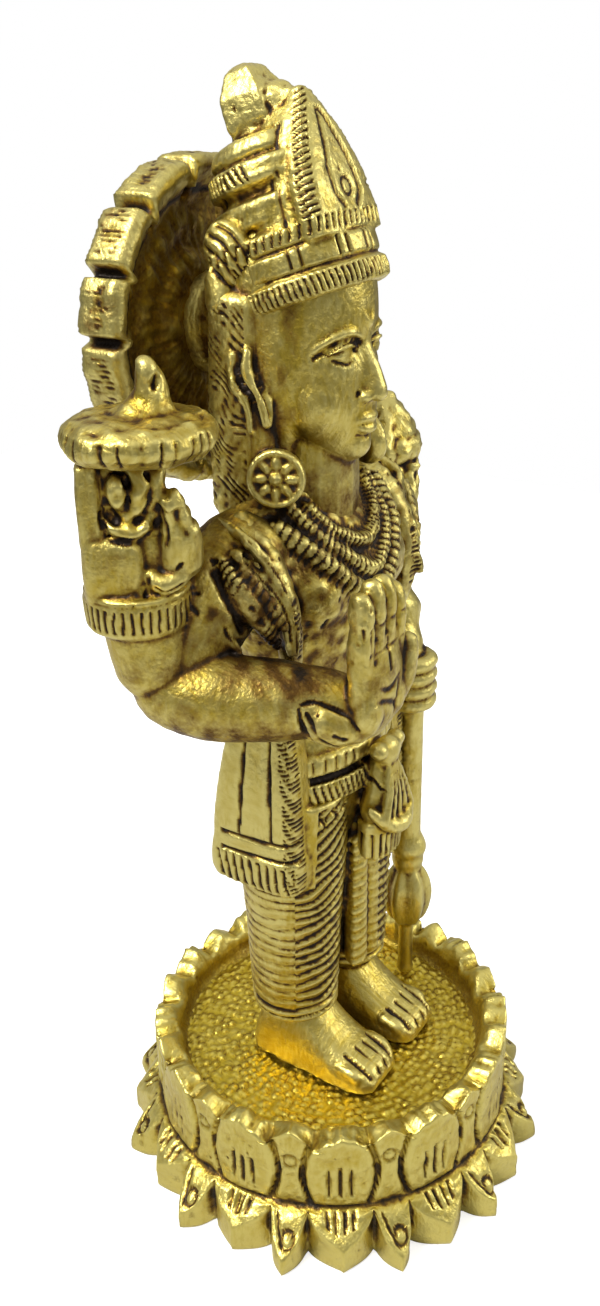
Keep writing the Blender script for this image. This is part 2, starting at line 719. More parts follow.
# Lines of the eyes, brows, nostrils and lips, chased on each side
faceLines = [
    ([[eyeX - 1.4, 0.7, eyeLevel + 0.35], [eyeX, 0.3, eyeLevel + 1.1], [eyeX + 1.1, 0.7, eyeLevel + 0.85],
      [eyeX + 2.1, 1.9, eyeLevel + 0.15]], 0.34, 0.3),
    ([[eyeX - 1.5, 0.9, eyeLevel - 0.1], [eyeX - 0.2, 0.4, eyeLevel + 0.25],
      [eyeX + 0.9, 0.7, eyeLevel + 0.15], [eyeX + 1.9, 1.7, eyeLevel - 0.25]], 0.3, 0.3),
    ([[eyeX - 1.3, 1.0, eyeLevel - 0.4], [eyeX, 0.8, eyeLevel - 0.95], [eyeX + 1.5, 1.5, eyeLevel - 0.55]],
     0.3, 0.25),
    ([[0.9, 0.5, browLevel - 0.6], [eyeX, 0.4, browLevel - 0.15], [eyeX + 1.4, 1.1, browLevel - 0.45],
      [eyeX + 2.6, 2.8, browLevel - 1.6]], 0.34, 0.28),
    ([[0.5, -0.9, noseLevel - 0.1], [0.9, -0.3, noseLevel - 0.05]], 0.32, 0.35),
    ([[1.7, 0.2, noseLevel + 0.9], [1.7, 0.7, noseLevel + 0.1]], 0.3, 0.3),
    ([[0, 0.1, mouthLevel - 0.12], [1.0, 0.3, mouthLevel - 0.1], [2.1, 1.0, mouthLevel + 0.1]], 0.28, 0.32),
    ([[0, 0.6, mouthLevel - 1.35], [1.2, 0.9, mouthLevel - 1.1]], 0.5, 0.25),
]


def chaseHead(co):
    z = co[:, 2]
    swing = np.arctan2(co[:, 0], co[:, 1] - 3.0)
    hairy = within(z, 61, 83.5, 1) * (np.abs(swing) < 1.5) * (np.hypot(co[:, 0], co[:, 1] - 3) > 6.2)
    comb = swing * 6.5 * np.sign(co[:, 0]) + z + 0.5 * ripple(co, 4, 3)
    depth = -headForm["combDepth"] * hairy * ticks(comb, headForm["combPitch"], 1.5)
    depth = depth * np.clip(0.45 + 0.8 * ripple(co, 2.0, 4), 0, 1) - 0.07 * hairy * ripple(co, 1.2, 5)
    for side in (-1, 1):
        for line in hollows:
            depth += cut(co, [[-side * x, y, h] for x, y, h in line], 0.55, 0.65)
        for line, width, deep in faceLines:
            depth += cut(co, [[side * x, front + y, h] for x, y, h in line], width, deep)
    return depth


print("head")
throat = limb([[0, 3, 60, 5.4], [0, 2.2, 65, 5.0], [0, 2, 72, 4.6]])
pieces = [faceCore(), throat] + features() + hair() + bothSides(earring())
head = cast("vishnu_head", pieces, headForm["grain"], 2)
chase(head, chaseHead)

# Crown: built upright on its own seat and leaned back at the end

crownForm = {
    "grain": 0.175,
    "lean": 20,
    "seat": (0, 2.2, 84.6),
    "leafPlace": (6.3, 2.6, 3.6),
    "leafReach": (1.6, 2.4, 2.9),
    "bandMarks": (-104, -97, -64, -56, -27, -19, 0, 8, 31, 39, 66, 74, 97, 104),
}


def crownBody():
    band = turned([
        [0, -2.2], [6.7, -2.2], [7.35, -2.0], [7.5, -1.2], [7.4, -0.35], [7.0, -0.1], [6.75, 0.05],
        [6.75, 0.25], [7.12, 0.4],
        [7.1, 2.0], [6.6, 2.2], [6.5, 2.4], [6.95, 2.6], [6.9, 3.7], [6.5, 4.0], [6.0, 4.1], [0, 4.1],
    ], 120)
    tiers = turned([
        [0, 2.0], [6.2, 2.6], [5.9, 3.1], [5.3, 3.5], [5.2, 4.4], [5.3, 4.7], [6.1, 4.8], [6.35, 5.1],
        [6.3, 6.5], [6.1, 6.9],
        [5.3, 7.05], [5.1, 7.4], [5.2, 7.9], [5.8, 8.15], [6.0, 8.5], [5.8, 9.7], [5.6, 10.0], [4.9, 10.1],
        [4.8, 10.4], [5.1, 10.6], [5.1, 10.9], [4.7, 11.8], [4.3, 12.0], [2.7, 12.3], [2.6, 12.7], [0, 12.8],
    ], 96)
    knob = turned([[0, 11.6], [2.4, 11.8], [3.3, 13.4], [3.2, 15.6], [2.0, 17.6], [0.9, 18.2], [0, 18.3]], 5)
    placed(knob, turnZ=-60)
    ridge = ball((0.2, -2.2, 14.0), (1.9, 2.4, 2.0), 16)
    block = stack([
        [2.6, 5.7, 3.4, -2.2], [4.4, 5.5, 3.4, -2.2], [6.4, 5.1, 3.3, -2.2], [9.5, 4.1, 3.1, -2.5],
        [12, 2.8, 2.6, -2.9], [13.4, 1.6, 1.8, -3.3],
    ], 48, 3, 3.2)
    flap = ball((-4.5, -1.6, 4.3), (1.5, 2.3, 1.7), 20)
    return [band, tiers, knob, ridge, block] + bothSides([flap])


# The pointed plate at the front, thick at its sides
def crownArch():
    return stack([
        [2.2, 5.3, 1.75, -4.9], [4.0, 5.3, 1.75, -5.0], [7.0, 4.8, 1.7, -5.0], [10.0, 3.6, 1.6, -4.9],
        [12.4, 2.2, 1.4, -4.7], [14.2, 0.9, 1.0, -4.6], [14.7, 0.3, 0.4, -4.6],
    ], 56, 4, 3.6)


def crownLeaf():
    (x, y, z), radii = crownForm["leafPlace"], crownForm["leafReach"]
    leaf = ball((-x, y, z), radii, 32)
    stalk = limb([[-6.4, 5.0, -2.4, 1.0], [-6.6, 4.6, 0.0, 1.6], [-6.4, 4.2, 2.0, 1.4]])
    return bothSides([leaf, stalk])


# A point of the leaf's outer face
def onLeaf(side, y, z):
    (cx, cy, cz), (rx, ry, rz) = crownForm["leafPlace"], crownForm["leafReach"]
    inside = 1 - ((y - cy) / ry) ** 2 - ((z - cz) / rz) ** 2
    return [side * (cx + rx * math.sqrt(max(inside, 0.02))), y, z]


# The arch's side seam, its long teardrop and its rim
archLines = [
    ([[5.7, -3.3, 3.2], [5.3, -3.4, 6.6], [4.1, -3.5, 9.8], [2.8, -3.7, 12]], 0.3, 0.2),
    ([[0.2, -6.3, 12.4], [1.1, -6.5, 9.8], [1.8, -6.6, 7.4], [1.9, -6.7, 5.4], [1.1, -6.7, 4.3]], 0.42, 0.36),
    ([[4.3, -6.1, 3.0], [4.0, -6.1, 6.6], [2.9, -6.1, 9.8], [1.5, -5.9, 12.2]], 0.26, 0.2),
]
# The leaf's strokes (y, z) curve down to its lower front corner
leafStrokes = [
    ((2.4, 6.1), (1.1, 5.0), (0.5, 3.4), (0.5, 1.8)), ((3.4, 5.6), (2.1, 4.6), (1.5, 3.2), (1.3, 1.4)),
    ((4.2, 4.8), (3.1, 3.8), (2.4, 2.6), (2.2, 1.1)), ((4.7, 3.8), (3.9, 2.8), (3.4, 1.9), (3.1, 1.0)),
]


def chaseCrown(co):
    x, y, h = co.T
    angle = np.arctan2(x, -y)
    radius = np.hypot(x, y)
    onBand = within(h, -2.5, 4.0) * (radius > 5.8)
    lowHatch = ticks(angle * 7.4 + 0.12 * h + 0.05 * ripple(co, 3, 7), 0.58, 2)
    highHatch = ticks(angle * 7 - 0.25 * h + 0.1 * ripple(co, 3, 9), 0.8, 3)
    depth = -0.3 * onBand * (within(h, -2.05, -0.35) * lowHatch + within(h, 2.65, 3.85) * highHatch)
    for middle in np.radians(crownForm["bandMarks"]):
        depth += -0.34 * onBand * within(h, 0.35, 2.1) * np.clip(1 - ((angle - middle) / 0.028) ** 2, 0, 1)
    behind = (np.abs(angle) > 1.35) * (radius > 3.8) * ((np.abs(x) < 5.5) | (h > 6.8))
    for low, high, pitch in ((5.0, 6.7, 0.62), (8.4, 9.9, 0.7)):
        slide = angle * 5.9 + 0.3 * h + 0.12 * ripple(co, 2, 10)
        depth += -0.3 * behind * within(h, low, high) * ticks(slide, pitch, 2)
    # Black pits under the lowest tier
    for side in (-1, 1):
        for turn, wide in ((1.75, 0.7), (2.45, 0.5)):
            spot = [[side * 5.6 * math.sin(t), -5.6 * math.cos(t), z] for t,
                    z in ((turn, 4.5), (turn + 0.1, 4.3))]
            depth += cut(co, spot, wide, 1.0)
        # Hatched border of the arch
        face = np.interp(h, [2, 7, 10, 12.4, 14.2], [5.3, 4.8, 3.6, 2.2, 0.9])
        sides = (x * side > face - 0.7) * (h > 4.0) * (h < 14.4)
        slant = h + 0.2 * y + 0.08 * ripple(co, 2, 17)
        depth += -0.32 * sides * within(y, -6.35, -4.9, 0.2) * ticks(slant, 0.6, 2)
        depth += cuts(co, archLines, side)
        for stroke in leafStrokes:
            depth += cut(co, [onLeaf(side, y, z) for y, z in stroke], 0.32, 0.34, 3)
    circle = [[0.7 * math.cos(t), -6.7, 5.8 + 0.75 * math.sin(t)] for t in np.linspace(0, 6.28, 13)]
    depth += cut(co, circle, 0.24, 0.22, 1)
    rough = within(h, 11.5, 16, 1) * (y < -0.6) * (radius < 4.4)
    depth += rough * (0.08 * ripple(co, 2.4, 11) + 0.12 * pits(co, 1.8, 12, 1.1))
    fine = 0.025 * ripple(co, 0.9, 18) + 0.2 * pits(co, 1.5, 19, 1.0)
    return depth + 0.04 * ripple(co, 2.2, 13) + (h > 2.8) * fine


print("crown")
crown = cast("vishnu_crown", crownBody() + [crownArch()] + crownLeaf(), crownForm["grain"], 2)
chase(crown, chaseCrown)
placed(crown, turnX=-crownForm["lean"], shift=crownForm["seat"])

# Halo: spun on the ground, stood up behind the head

haloForm = {"middle": 79.8, "lumps": 14, "notch": 1.35, "columns": 384, "stubGrain": 0.6}


def halo():
    profile = [[0, 16.8], [0.6, 16.8], [6, 16.8], [11, 16.8], [13.8, 16.75], [14.7, 16.4], [15.05, 15.8]]
    profile += [[15.1, 15.8 - 0.4 * k] for k in range(1, 9)] + [[14.9, 12.1], [14.4, 11.8], [13.9, 11.8]]
    profile += [[13.5 - 0.27 * k, 11.9 + 0.25 * k] for k in range(1, 7)]
    profile += [[11.8 - 0.3 * k, 13.4 + 0.3 * math.sin(k / 18 * math.pi)] for k in range(1, 36)]
    profile += [[0.6, 13.5], [0, 13.5]]
    return placed(turned(profile, haloForm["columns"]), turnX=90, shift=(0, 0, haloForm["middle"]))


def chaseHalo(co):
    x, y, z = co[:, 0], -co[:, 1], co[:, 2] - haloForm["middle"]
    radius = np.hypot(x, z)
    turn = np.arctan2(x, z)
    lump = turn * haloForm["lumps"] / (2 * math.pi) + 0.5 + 0.06 * np.sin(turn * 5)
    gap = np.abs(lump - np.round(lump))
    notch = np.exp(-((gap / 0.08) ** 4))
    edge = within(radius, 13.2, 16, 1.2)
    out = -haloForm["notch"] * notch * edge
    out += edge * (-0.2 * (gap * 2 - 0.5) ** 2 + 0.12 * ripple(co, 2.4, 8) + 0.35 * pits(co, 2.6, 14, 1.1))
    nicks = ticks(turn * 15 + 0.06 * ripple(co, 2, 5), 0.5, 1)
    out += -0.09 * edge * nicks + 0.06 * edge * ripple(co, 1.1, 9)
    rim = within(radius, 11.5, 13.8, 0.8)
    dish = within(radius, 1.5, 11.7, 1.0) * (y < 15)
    inward = 0.16 * dish * np.sin(radius * 1.9 + 0.9 * np.sin(turn * 3)) + 0.13 * dish * ripple(co, 2.0, 12)
    inward += 0.1 * dish * within(radius, 5.5, 11, 2) * ticks(turn * 9 + 0.35 * ripple(co, 3, 16), 1.3, 1)
    inward += 0.6 * rim * notch + 0.1 * rim * ripple(co, 1.4, 13)
    back = (y > 16.4) * (0.06 + np.abs(0.06 * ripple(co, 2.6, 15)))
    shift = np.zeros_like(co)
    shift[:, 0] = np.sin(turn) * out
    shift[:, 2] = np.cos(turn) * out
    shift[:, 1] = inward - back
    return shift


print("halo")
haloPiece = halo()
haloPiece.name = haloPiece.data.name = "vishnu_halo"
co, _ = pointsOf(haloPiece)
if co[:, 1].mean() < 0:
    placed(haloPiece, turnZ=180)
    co, _ = pointsOf(haloPiece)
setPoints(haloPiece, co + chaseHalo(co * [1, -1, 1]))
middle = haloForm["middle"]
stem = limb([[0, 7, middle, 3.6], [0, 11.5, middle, 3.1], [0, 13.4, middle, 3.8]], (1, 1, 1.3))
stub = cast("vishnu_halo_stub", [stem], haloForm["stubGrain"], 2)

# Torso, belt and garlands

torso = [
    [28.6, 8.6, 5.0, 1.4], [30, 9.0, 5.4, 1.4], [35, 10.0, 6.3, 1.5], [39.5, 9.7, 6.3, 1.6],
    [44, 8.9, 5.8, 1.8],
    [49, 9.6, 6.3, 1.9], [54, 11.3, 7.0, 1.9], [58, 12.2, 7.1, 2.0], [61.5, 12.3, 6.5, 2.6],
    [64.4, 10.4, 5.0, 3.2], [66.8, 6.0, 4.0, 3.2],
]
torsoTable = np.array(torso)
torsoForm = {
    "grain": 0.24,
    "belts": ((35.0, 37.7, 0.85), (38.2, 40.4, 0.65)),
    "cords": {"collar": 0.75, "inner": 0.8, "outer": 0.95},
}


def sectionAt(z):
    return [np.interp(z, torsoTable[:, 0], torsoTable[:, k]) for k in (1, 2, 3)]


def onChest(x, z, lift):
    wide, deep, middle = sectionAt(z)
    return [x, middle - deep * math.sqrt(max(0, 1 - (x / wide) ** 2)) - lift, z]


def bothHalves(half):
    return half + [[-x, z] for x, z in half[-2::-1]]


garlands = {
    "collar": bothHalves([[-5.2, 65.2], [-4.3, 63.4], [-2.3, 61.9], [0, 61.3]]),
    "inner": bothHalves([[-6.6, 65.4], [-5.8, 63.0], [-3.6, 60.6], [-1.4, 59.0], [0, 58.6]]),
    "outer": bothHalves([[-9.0, 64.2], [-7.2, 61.8], [-4.4, 58.6], [-1.8, 56.6], [0, 56.1]]),
}
garlandLines = {name: [onChest(x, z, 0.2) for x, z in points] for name, points in garlands.items()}


def beltBand(low, high, proud):
    rows = []
    for z, share in ((low, 0.2), (low + 0.3, 1), ((low + high) / 2, 1.1), (high - 0.3, 1), (high, 0.2)):
        wide, deep, middle = sectionAt(z)
        rows.append([z, wide + proud * share, deep + proud * share, middle])
    return stack(rows, 72, 2)


# The sash comes over the shoulder, with two ribbons on it
ribbons = [
    [[-11.5, 4.4, 64.9, 0.4], [-13.3, 0.1, 64.2, 0.55], [-12.1, -1.6, 61.4, 0.55], [-11.8, -3.1, 58.8, 0.5],
     [-11.7, -3.6, 56.4, 0.5], [-12.1, -4.0, 53.8, 0.4]],
    [[-13.4, 3.8, 64.1, 0.4], [-13.9, 1.5, 63.4, 0.5], [-13.2, -0.7, 61.0, 0.5], [-12.6, -2.3, 59.0, 0.5],
     [-12.3, -3.1, 56.8, 0.45], [-12.6, -3.8, 54.0, 0.4]],
]


def sashFolds():
    fold = limb([
        [-10.6, 2.6, 65.0, 1.0], [-11.2, 0.4, 63.0, 1.4], [-11.4, -1.8, 59.4, 1.4], [-11.1, -2.7, 54.8, 1.2],
        [-10.4, -2.2, 50.6, 0.9],
    ], (1.1, 1, 1))
    return bothSides([fold] + [limb(line, fine=4) for line in ribbons])


def knotAndTassel():
    knot = ball((0, -6.9, 39.0), (1.9, 1.3, 1.6), 20)
    bow = ball((-1.7, -6.9, 39.6), (1.2, 1.0, 0.9))
    tassel = limb([[0, -6.2, 38.6, 1.2], [0, -6.5, 35.4, 2.0], [0, -6.4, 32.2, 2.6]], (1.15, 0.8, 1))
    threads = []
    for x in np.linspace(-1, 1, 5):
        threads.append(limb([[x * 0.5, -7.4, 38.2, 0.35], [x * 1.6, -8.1, 35, 0.5], [x * 2.7, -8.2, 32, 0.5]],
                            fine=3))
    roll = limb([[-3.5, -6.9, 33.6, 0.4], [-2.0, -8.2, 31.6, 0.8], [0, -8.7, 30.9, 0.95],
                 [2.0, -8.2, 31.6, 0.8], [3.5, -6.9, 33.6, 0.4]])
    fringe = stack([[26.9, 3.1, 1.7, -6.3], [28.2, 3.2, 1.9, -6.2], [31.2, 3.0, 2.1, -6.2]], 36, 3)
    return [knot, tassel] + threads + bothSides([bow]) + [roll, fringe]


hemCut = ([[9.9, -2.6, 62.6], [10.2, -3.9, 58], [9.8, -4.3, 54], [9.2, -3.9, 50.6]], 0.5, 0.4)


def chaseTorso(co):
    x, y, z = co.T
    turn = np.arctan2(x, 2 - y)
    depth = hatch(co, garlandLines["collar"], 1.4, 0.52, 0.2)
    depth += hatch(co, garlandLines["inner"], 1.5, 0.68, 0.2, 0.3, 4)
    depth += hatch(co, garlandLines["outer"], 1.6, 0.88, 0.3, 0, 6)
    slant = ticks(turn * 10.5 + 0.35 * z, 0.85, 2)
    depth += -0.25 * within(z, 35.3, 37.4) * slant * (np.abs(x) > 1.8) * (y < 8)
    depth += -0.2 * within(z, 38.5, 40.1) * ticks(turn * 10.5, 1.5, 3) * (np.abs(x) > 2.4)
    depth += -0.35 * within(z, 37.6, 38.3, 0.15) * (np.abs(x) > 1.8)
    depth += -0.32 * within(z, 26.6, 30.2, 0.3) * (y < -5) * (np.abs(x) < 4) * ticks(x, 0.72, 2)
    for k in np.linspace(-1, 1, 6):
        depth += cut(co, [[k * 0.5, -7.6, 38], [k * 1.7, -8.3, 35.2], [k * 2.7, -8.4, 32.4]], 0.34, 0.24)
    for side in (-1, 1):
        depth += cuts(co, [hemCut], side)
        low = [[side * 11.2, -4.2, 58.5], [side * 11.0, -4.5, 56], [side * 10.8, -4.4, 52.6]]
        depth += hatch(co, low, 1.0, 0.56, 0.24)
        for line in ribbons:
            depth += cut(co, [[-side * (x - 0.2), y - 0.4, h + 0.2] for x, y, h, _ in line], 0.24, 0.14)
    depth += (0.08 * ripple(co, 1.5, 30) + 0.4 * pits(co, 1.8, 32, 0.95)) * within(z, 50, 66, 2) * (y < 2.5)
    return depth + 0.03 * ripple(co, 1.4, 31)


print("torso")
pieces = [stack(torso, 72, 5)] + [beltBand(*belt) for belt in torsoForm["belts"]]
pieces += knotAndTassel() + sashFolds()
for name, radius in torsoForm["cords"].items():
    pieces.append(limb([p + [radius] for p in garlandLines[name]]))
pieces.append(ball(tuple(onChest(0, 55.6, 0.5)), (1.3, 0.7, 1.5)))
pieces += bothSides([ball((-5, -2.4, 57.2), (4.2, 2.6, 3.6), 28)])
body = cast("vishnu_torso", pieces, torsoForm["grain"], 3)
chase(body, chaseTorso)

# Arms and what the hands hold. Both arms of a side leave one shoulder; all is given for the right side.

shoulder = np.array([-9.6, 2.8, 61.6])
rightElbow = np.array([-19.8, 4.8, 52.6])
leftElbow = np.array([-18.6, 7.6, 52.2])
rightWrist = np.array([-20.9, 6.4, 61.6])
leftWrist = np.array([-20.0, 6.6, 56.0])
armForm = {
    "rightGrain": 0.19,
    "leftGrain": 0.235,
    "bulge": np.array([-0.6, 0.2, 0.4]),
    "thick": ((0, 4.5), (0.25, 4.8), (0.5, 4.8), (0.75, 4.5), (1, 3.9)),
}


def onArm(elbow, share):
    return shoulder + (elbow - shoulder) * share + armForm["bulge"] * 4 * share * (1 - share)


def upperArm(elbow):
    return limb([list(onArm(elbow, share)) + [radius] for share, radius in armForm["thick"]], fine=12)


# Two leaves on the upper arm, the outer one ribbed and the inner one under a bead, and a band below the shoulder
armletLines = {
    "outer": [[-15.3, 1.5, 62.9, 0.45], [-15.6, 0.0, 61.3, 0.9], [-14.8, -1.1, 58.8, 1.1],
              [-13.7, -2.1, 56.4, 0.95], [-13.1, -2.8, 54.7, 0.45]],
    "inner": [[-14.7, -0.3, 62.1, 0.65], [-14.0, -1.3, 60.1, 0.9], [-13.1, -2.5, 58.1, 0.8],
              [-12.6, -3.3, 56.4, 0.45]],
    "band": [[-15.9, 3.6, 61.6, 0.4], [-17.0, 1.6, 59.4, 0.6], [-17.1, 0.2, 57.0, 0.5],
             [-16.2, -0.7, 55.0, 0.35]],
}


# Grooves between the armlet's leaves
armletCuts = [
    ([[-16.4, 1.4, 62.0], [-16.6, 0.2, 59.6], [-15.6, -0.8, 56.8], [-14.3, -2.0, 54.6]], 0.6, 0.55),
    ([[-14.9, 0.6, 62.6], [-14.6, -0.9, 60.8], [-13.8, -2.0, 58.4], [-13.0, -2.7, 56.2]], 0.6, 0.55),
    ([[-13.9, 0.0, 63.0], [-13.2, -1.3, 60.8], [-12.4, -2.7, 58.2], [-12.1, -3.4, 55.8]], 0.6, 0.55),
]


def armlet():
    return [limb(line, fine=5) for line in armletLines.values()] + [ball((-14.2, 0.5, 62.9), 0.85)]


def chaseArmlet(co):
    depth = hatch(co, [p[:3] for p in armletLines["outer"]], 1.02, 0.58, 0.3, 0.6, 3)
    depth += hatch(co, [p[:3] for p in armletLines["inner"]], 1.2, 0.9, 0.14, 0.5)
    depth += cut(co, [[x - 0.3, y - 0.5, h + 0.2] for x, y, h, _ in armletLines["band"]], 0.3, 0.2)
    depth += cuts(co, armletCuts)
    nearby = np.exp(-(((co[:, 0] + 13.5) / 4) ** 2) - (((co[:, 2] - 59) / 5) ** 2))
    return depth + nearby * (0.09 * ripple(co, 1.5, 33) + 0.35 * pits(co, 1.7, 34, 0.8))


def raisedForearm(elbow, wrist):
    arm = limb([
        [*(elbow + [0, 0.2, -0.9]), 2.6], [*(elbow + [-0.6, 0.4, 1.4]), 3.7],
        [*((elbow + wrist) / 2 + [-0.3, 0, 0]), 3.85], [*(wrist + [0, 0, 0.6]), 3.6],
    ], fine=12)
    x, y, z = wrist
    bangle = [[-3.6, 3.9], [-3.3, 4.45], [-2.6, 4.65], [-0.7, 4.7], [-0.5, 4.45], [-0.3, 4.6], [0, 4.6],
              [0.2, 4.0]]
    return [arm, stack([[z + h, r, r, y, x] for h, r in bangle], 48, 2)]


# The raised hand, seen with x along its face, y away from that and the wrist at its foot: the back of the hand
# is a smooth slab, with worn knuckles beside it and the thumb in front
gripTurn = -57
gripHeight = 11.4
leftGrip = 8.6


def grippingHand(wrist, height):
    pieces = [
        stack([[-0.5, 3.3, 3.0, 0, 0.3], [4, 3.4, 3.0, 0, 0.3], [8, 3.0, 2.8, 0.2, 0],
               [11.4, 2.8, 2.8, 0.2, -0.2]], 40, 3, 3),
        stack([[-0.5, 2.6, 3.0, -0.5, -1.5], [1.5, 2.8, 3.3, -0.6, -1.4], [4.4, 2.7, 3.3, -0.6, -1.4],
               [5.3, 2.0, 2.9, -0.5, -1.9]], 40, 3, 4),
        stack([[4.4, 1.4, 3.1, -0.4, -2.8], [8, 1.2, 3.1, -0.4, -3.0], [11.3, 1.1, 2.9, -0.3, -3.0]],
              32, 3, 4),
        ball((-0.6, -3.2, 9.2), (0.9, 0.95, 1.5), 20),
        limb([[0.9, -2.5, 11.0, 0.8], [1.3, -3.0, 9.6, 0.95], [1.0, -2.9, 8.0, 0.9], [0.2, -2.7, 7.0, 0.7]]),
        limb([[-1.4, -2.0, 10.6, 0.9], [-1.0, -2.3, 8.4, 0.9], [0.2, -2.2, 6.8, 0.9], [2.4, -1.9, 7.2, 0.9]]),
        limb([[2.6, -2.2, 10.8, 0.8], [2.6, -2.6, 9.4, 0.8], [2.2, -2.5, 8.0, 0.6]]),
        limb([[-1.5, -2.9, 6.5, 0.55], [-0.5, -3.2, 5.9, 0.65], [0.7, -3.2, 5.8, 0.65],
              [1.8, -2.9, 6.3, 0.5]]),
        limb([[4.0, -1.4, 2.6, 2.0], [4.2, -1.9, 4.8, 1.8], [4.0, -2.4, 6.6, 1.3], [3.8, -2.8, 7.7, 1.0]]),
        ball((3.8, -3.1, 8.3), 1.05, 20),
        limb([[1.5, -2.8, 1.9, 0.7], [2.6, -3.1, 1.2, 0.9], [3.9, -2.7, 1.6, 0.9], [4.7, -2.1, 2.8, 0.7]]),
    ]
    for piece in pieces:
        piece.data.transform(Matrix.Diagonal((1, 1, height / gripHeight, 1)))
    return [placed(piece, turnZ=gripTurn, shift=wrist) for piece in pieces]


gripCuts = [
    ([[-1.7, -3.3, 8.0], [-1.9, -3.5, 6.6], [-1.5, -3.7, 5.5], [-0.3, -3.8, 5.1], [1.3, -3.6, 5.0]],
     0.42, 0.5),
    ([[-1.5, -3.3, 7.3], [-1.0, -3.3, 6.8]], 0.7, 0.45),
    ([[1.4, -3.6, 4.8], [1.5, -3.8, 2.6], [1.2, -3.6, 0.4]], 0.35, 0.4),
    ([[0.2, -3.3, 10.4], [0.3, -3.4, 8.6]], 0.35, 0.5),
    ([[1.9, -3.1, 10.6], [2.0, -3.2, 8.8], [1.6, -3.2, 7.4]], 0.35, 0.5),
    ([[2.9, -3.2, 7.6], [3.2, -3.3, 5.6], [2.6, -3.4, 3.6]], 0.3, 0.35),
    ([[1.7, -3.7, 3.0], [2.6, -4.1, 2.2], [3.8, -3.6, 2.5], [4.6, -3.0, 3.4]], 0.3, 0.35),
    ([[2.0, -3.9, 1.0], [3.0, -3.9, 0.5], [4.2, -3.3, 1.2]], 0.3, 0.3),
]


def chaseGrip(co, wrist, height):
    turn = Matrix.Rotation(math.radians(gripTurn), 3, "Z")
    own = (co - np.array(wrist)) @ np.array(turn)
    x, y, h = own.T
    radius, swing = np.hypot(x, y), np.arctan2(x, -y)
    bangle = within(radius, 3.9, 5.4, 0.3)
    ribs = ticks(swing * 4.6 + 0.08 * ripple(co, 2, 43), 0.78, 3)
    depth = -0.28 * bangle * within(h, -2.9, -0.8, 0.2) * ribs
    depth = depth * (0.7 + 0.3 * ripple(co, 3, 48))
    own[:, 2] *= gripHeight / height
    depth += cuts(own, gripCuts)
    on = within(own[:, 2], 5.4, 11.2, 0.4) * (x > -1.8) * (y < 0.6) * (radius < 7)
    return depth + on * (0.13 * ripple(co, 1.6, 44) + 0.3 * pits(co, 1.9, 45, 0.8))


def blessingForearm(elbow):
    ex, ey, ez = elbow
    arm = limb([
        [ex - 0.2, ey + 0.9, ez + 1.2, 2.6], [ex - 0.1, ey - 0.6, ez - 0.4, 3.7],
        [ex + 1.4, ey - 3.8, ez - 1.4, 4.1],
        [-15.6, -4.2, 50.8, 3.7], [-13.2, -8.0, 50.5, 3.1], [-11.8, -10.6, 50.2, 2.5],
    ], fine=12)
    # The cuff is two leaves, one on the other, on the outer side of the wrist
    under = limb([[-15.6, -7.0, 50.6, 1.5], [-15.0, -8.2, 50.0, 2.3], [-14.0, -9.8, 49.2, 2.2],
                  [-13.0, -11.2, 48.6, 1.3]])
    leaf = limb([
        [-16.3, -8.0, 51.2, 0.7], [-15.8, -8.8, 50.4, 1.35], [-15.0, -9.8, 49.5, 1.5],
        [-14.2, -10.8, 48.8, 1.25], [-13.6, -11.5, 48.2, 0.6],
    ], (0.75, 1, 1))
    return [arm, under, leaf]


# The edges of the cuff's leaves and two strokes on the upper one
cuffCuts = [
    ([[-17.0, -7.5, 51.8], [-16.4, -8.6, 52.1], [-15.6, -9.7, 51.6], [-14.9, -10.7, 50.8],
      [-14.3, -11.8, 49.5]], 0.34, 0.42),
    ([[-17.2, -7.5, 51.5], [-17.3, -7.8, 50.4], [-17.0, -8.0, 49.2], [-16.3, -8.4, 48.2]], 0.34, 0.42),
    ([[-17.1, -8.3, 51.1], [-16.9, -8.8, 49.9], [-16.3, -9.3, 48.7], [-15.4, -10.2, 47.9]], 0.34, 0.42),
    ([[-16.4, -9.0, 50.9], [-15.9, -10.1, 50.3], [-15.2, -11.0, 49.4]], 0.36, 0.3),
    ([[-16.0, -10.4, 49.2], [-15.4, -11.1, 48.6]], 0.36, 0.3),
]

handForm = {"x": -10.8, "y": -11.5, "pitch": 1.87, "tips": (62.0, 62.6, 62.4, 61.2), "joints": (56.2, 58.6)}

# Lines of the palm and along the hand's outer edge, from the middle of the palm
palmCuts = [
    ([[-3.0, -1.9, 53.6], [-0.6, -1.9, 52.4], [1.8, -1.9, 53.2]], 0.5, 0.26),
    ([[-2.8, -1.9, 52.0], [0.2, -1.9, 50.8], [1.2, -1.9, 49.2]], 0.5, 0.26),
    ([[2.6, -1.9, 53.4], [1.2, -1.9, 52.2], [0.6, -1.9, 49.6]], 0.5, 0.26),
    ([[-2.6, -2.2, 49.4], [-3.1, -1.9, 52.6], [-2.9, -1.5, 55.8], [-2.6, -1.3, 58.4]], 0.5, 0.2),
    ([[-3.9, -0.9, 55.6], [-3.9, -1.0, 57.2], [-3.7, -0.8, 58.8]], 0.4, 0.3),
]


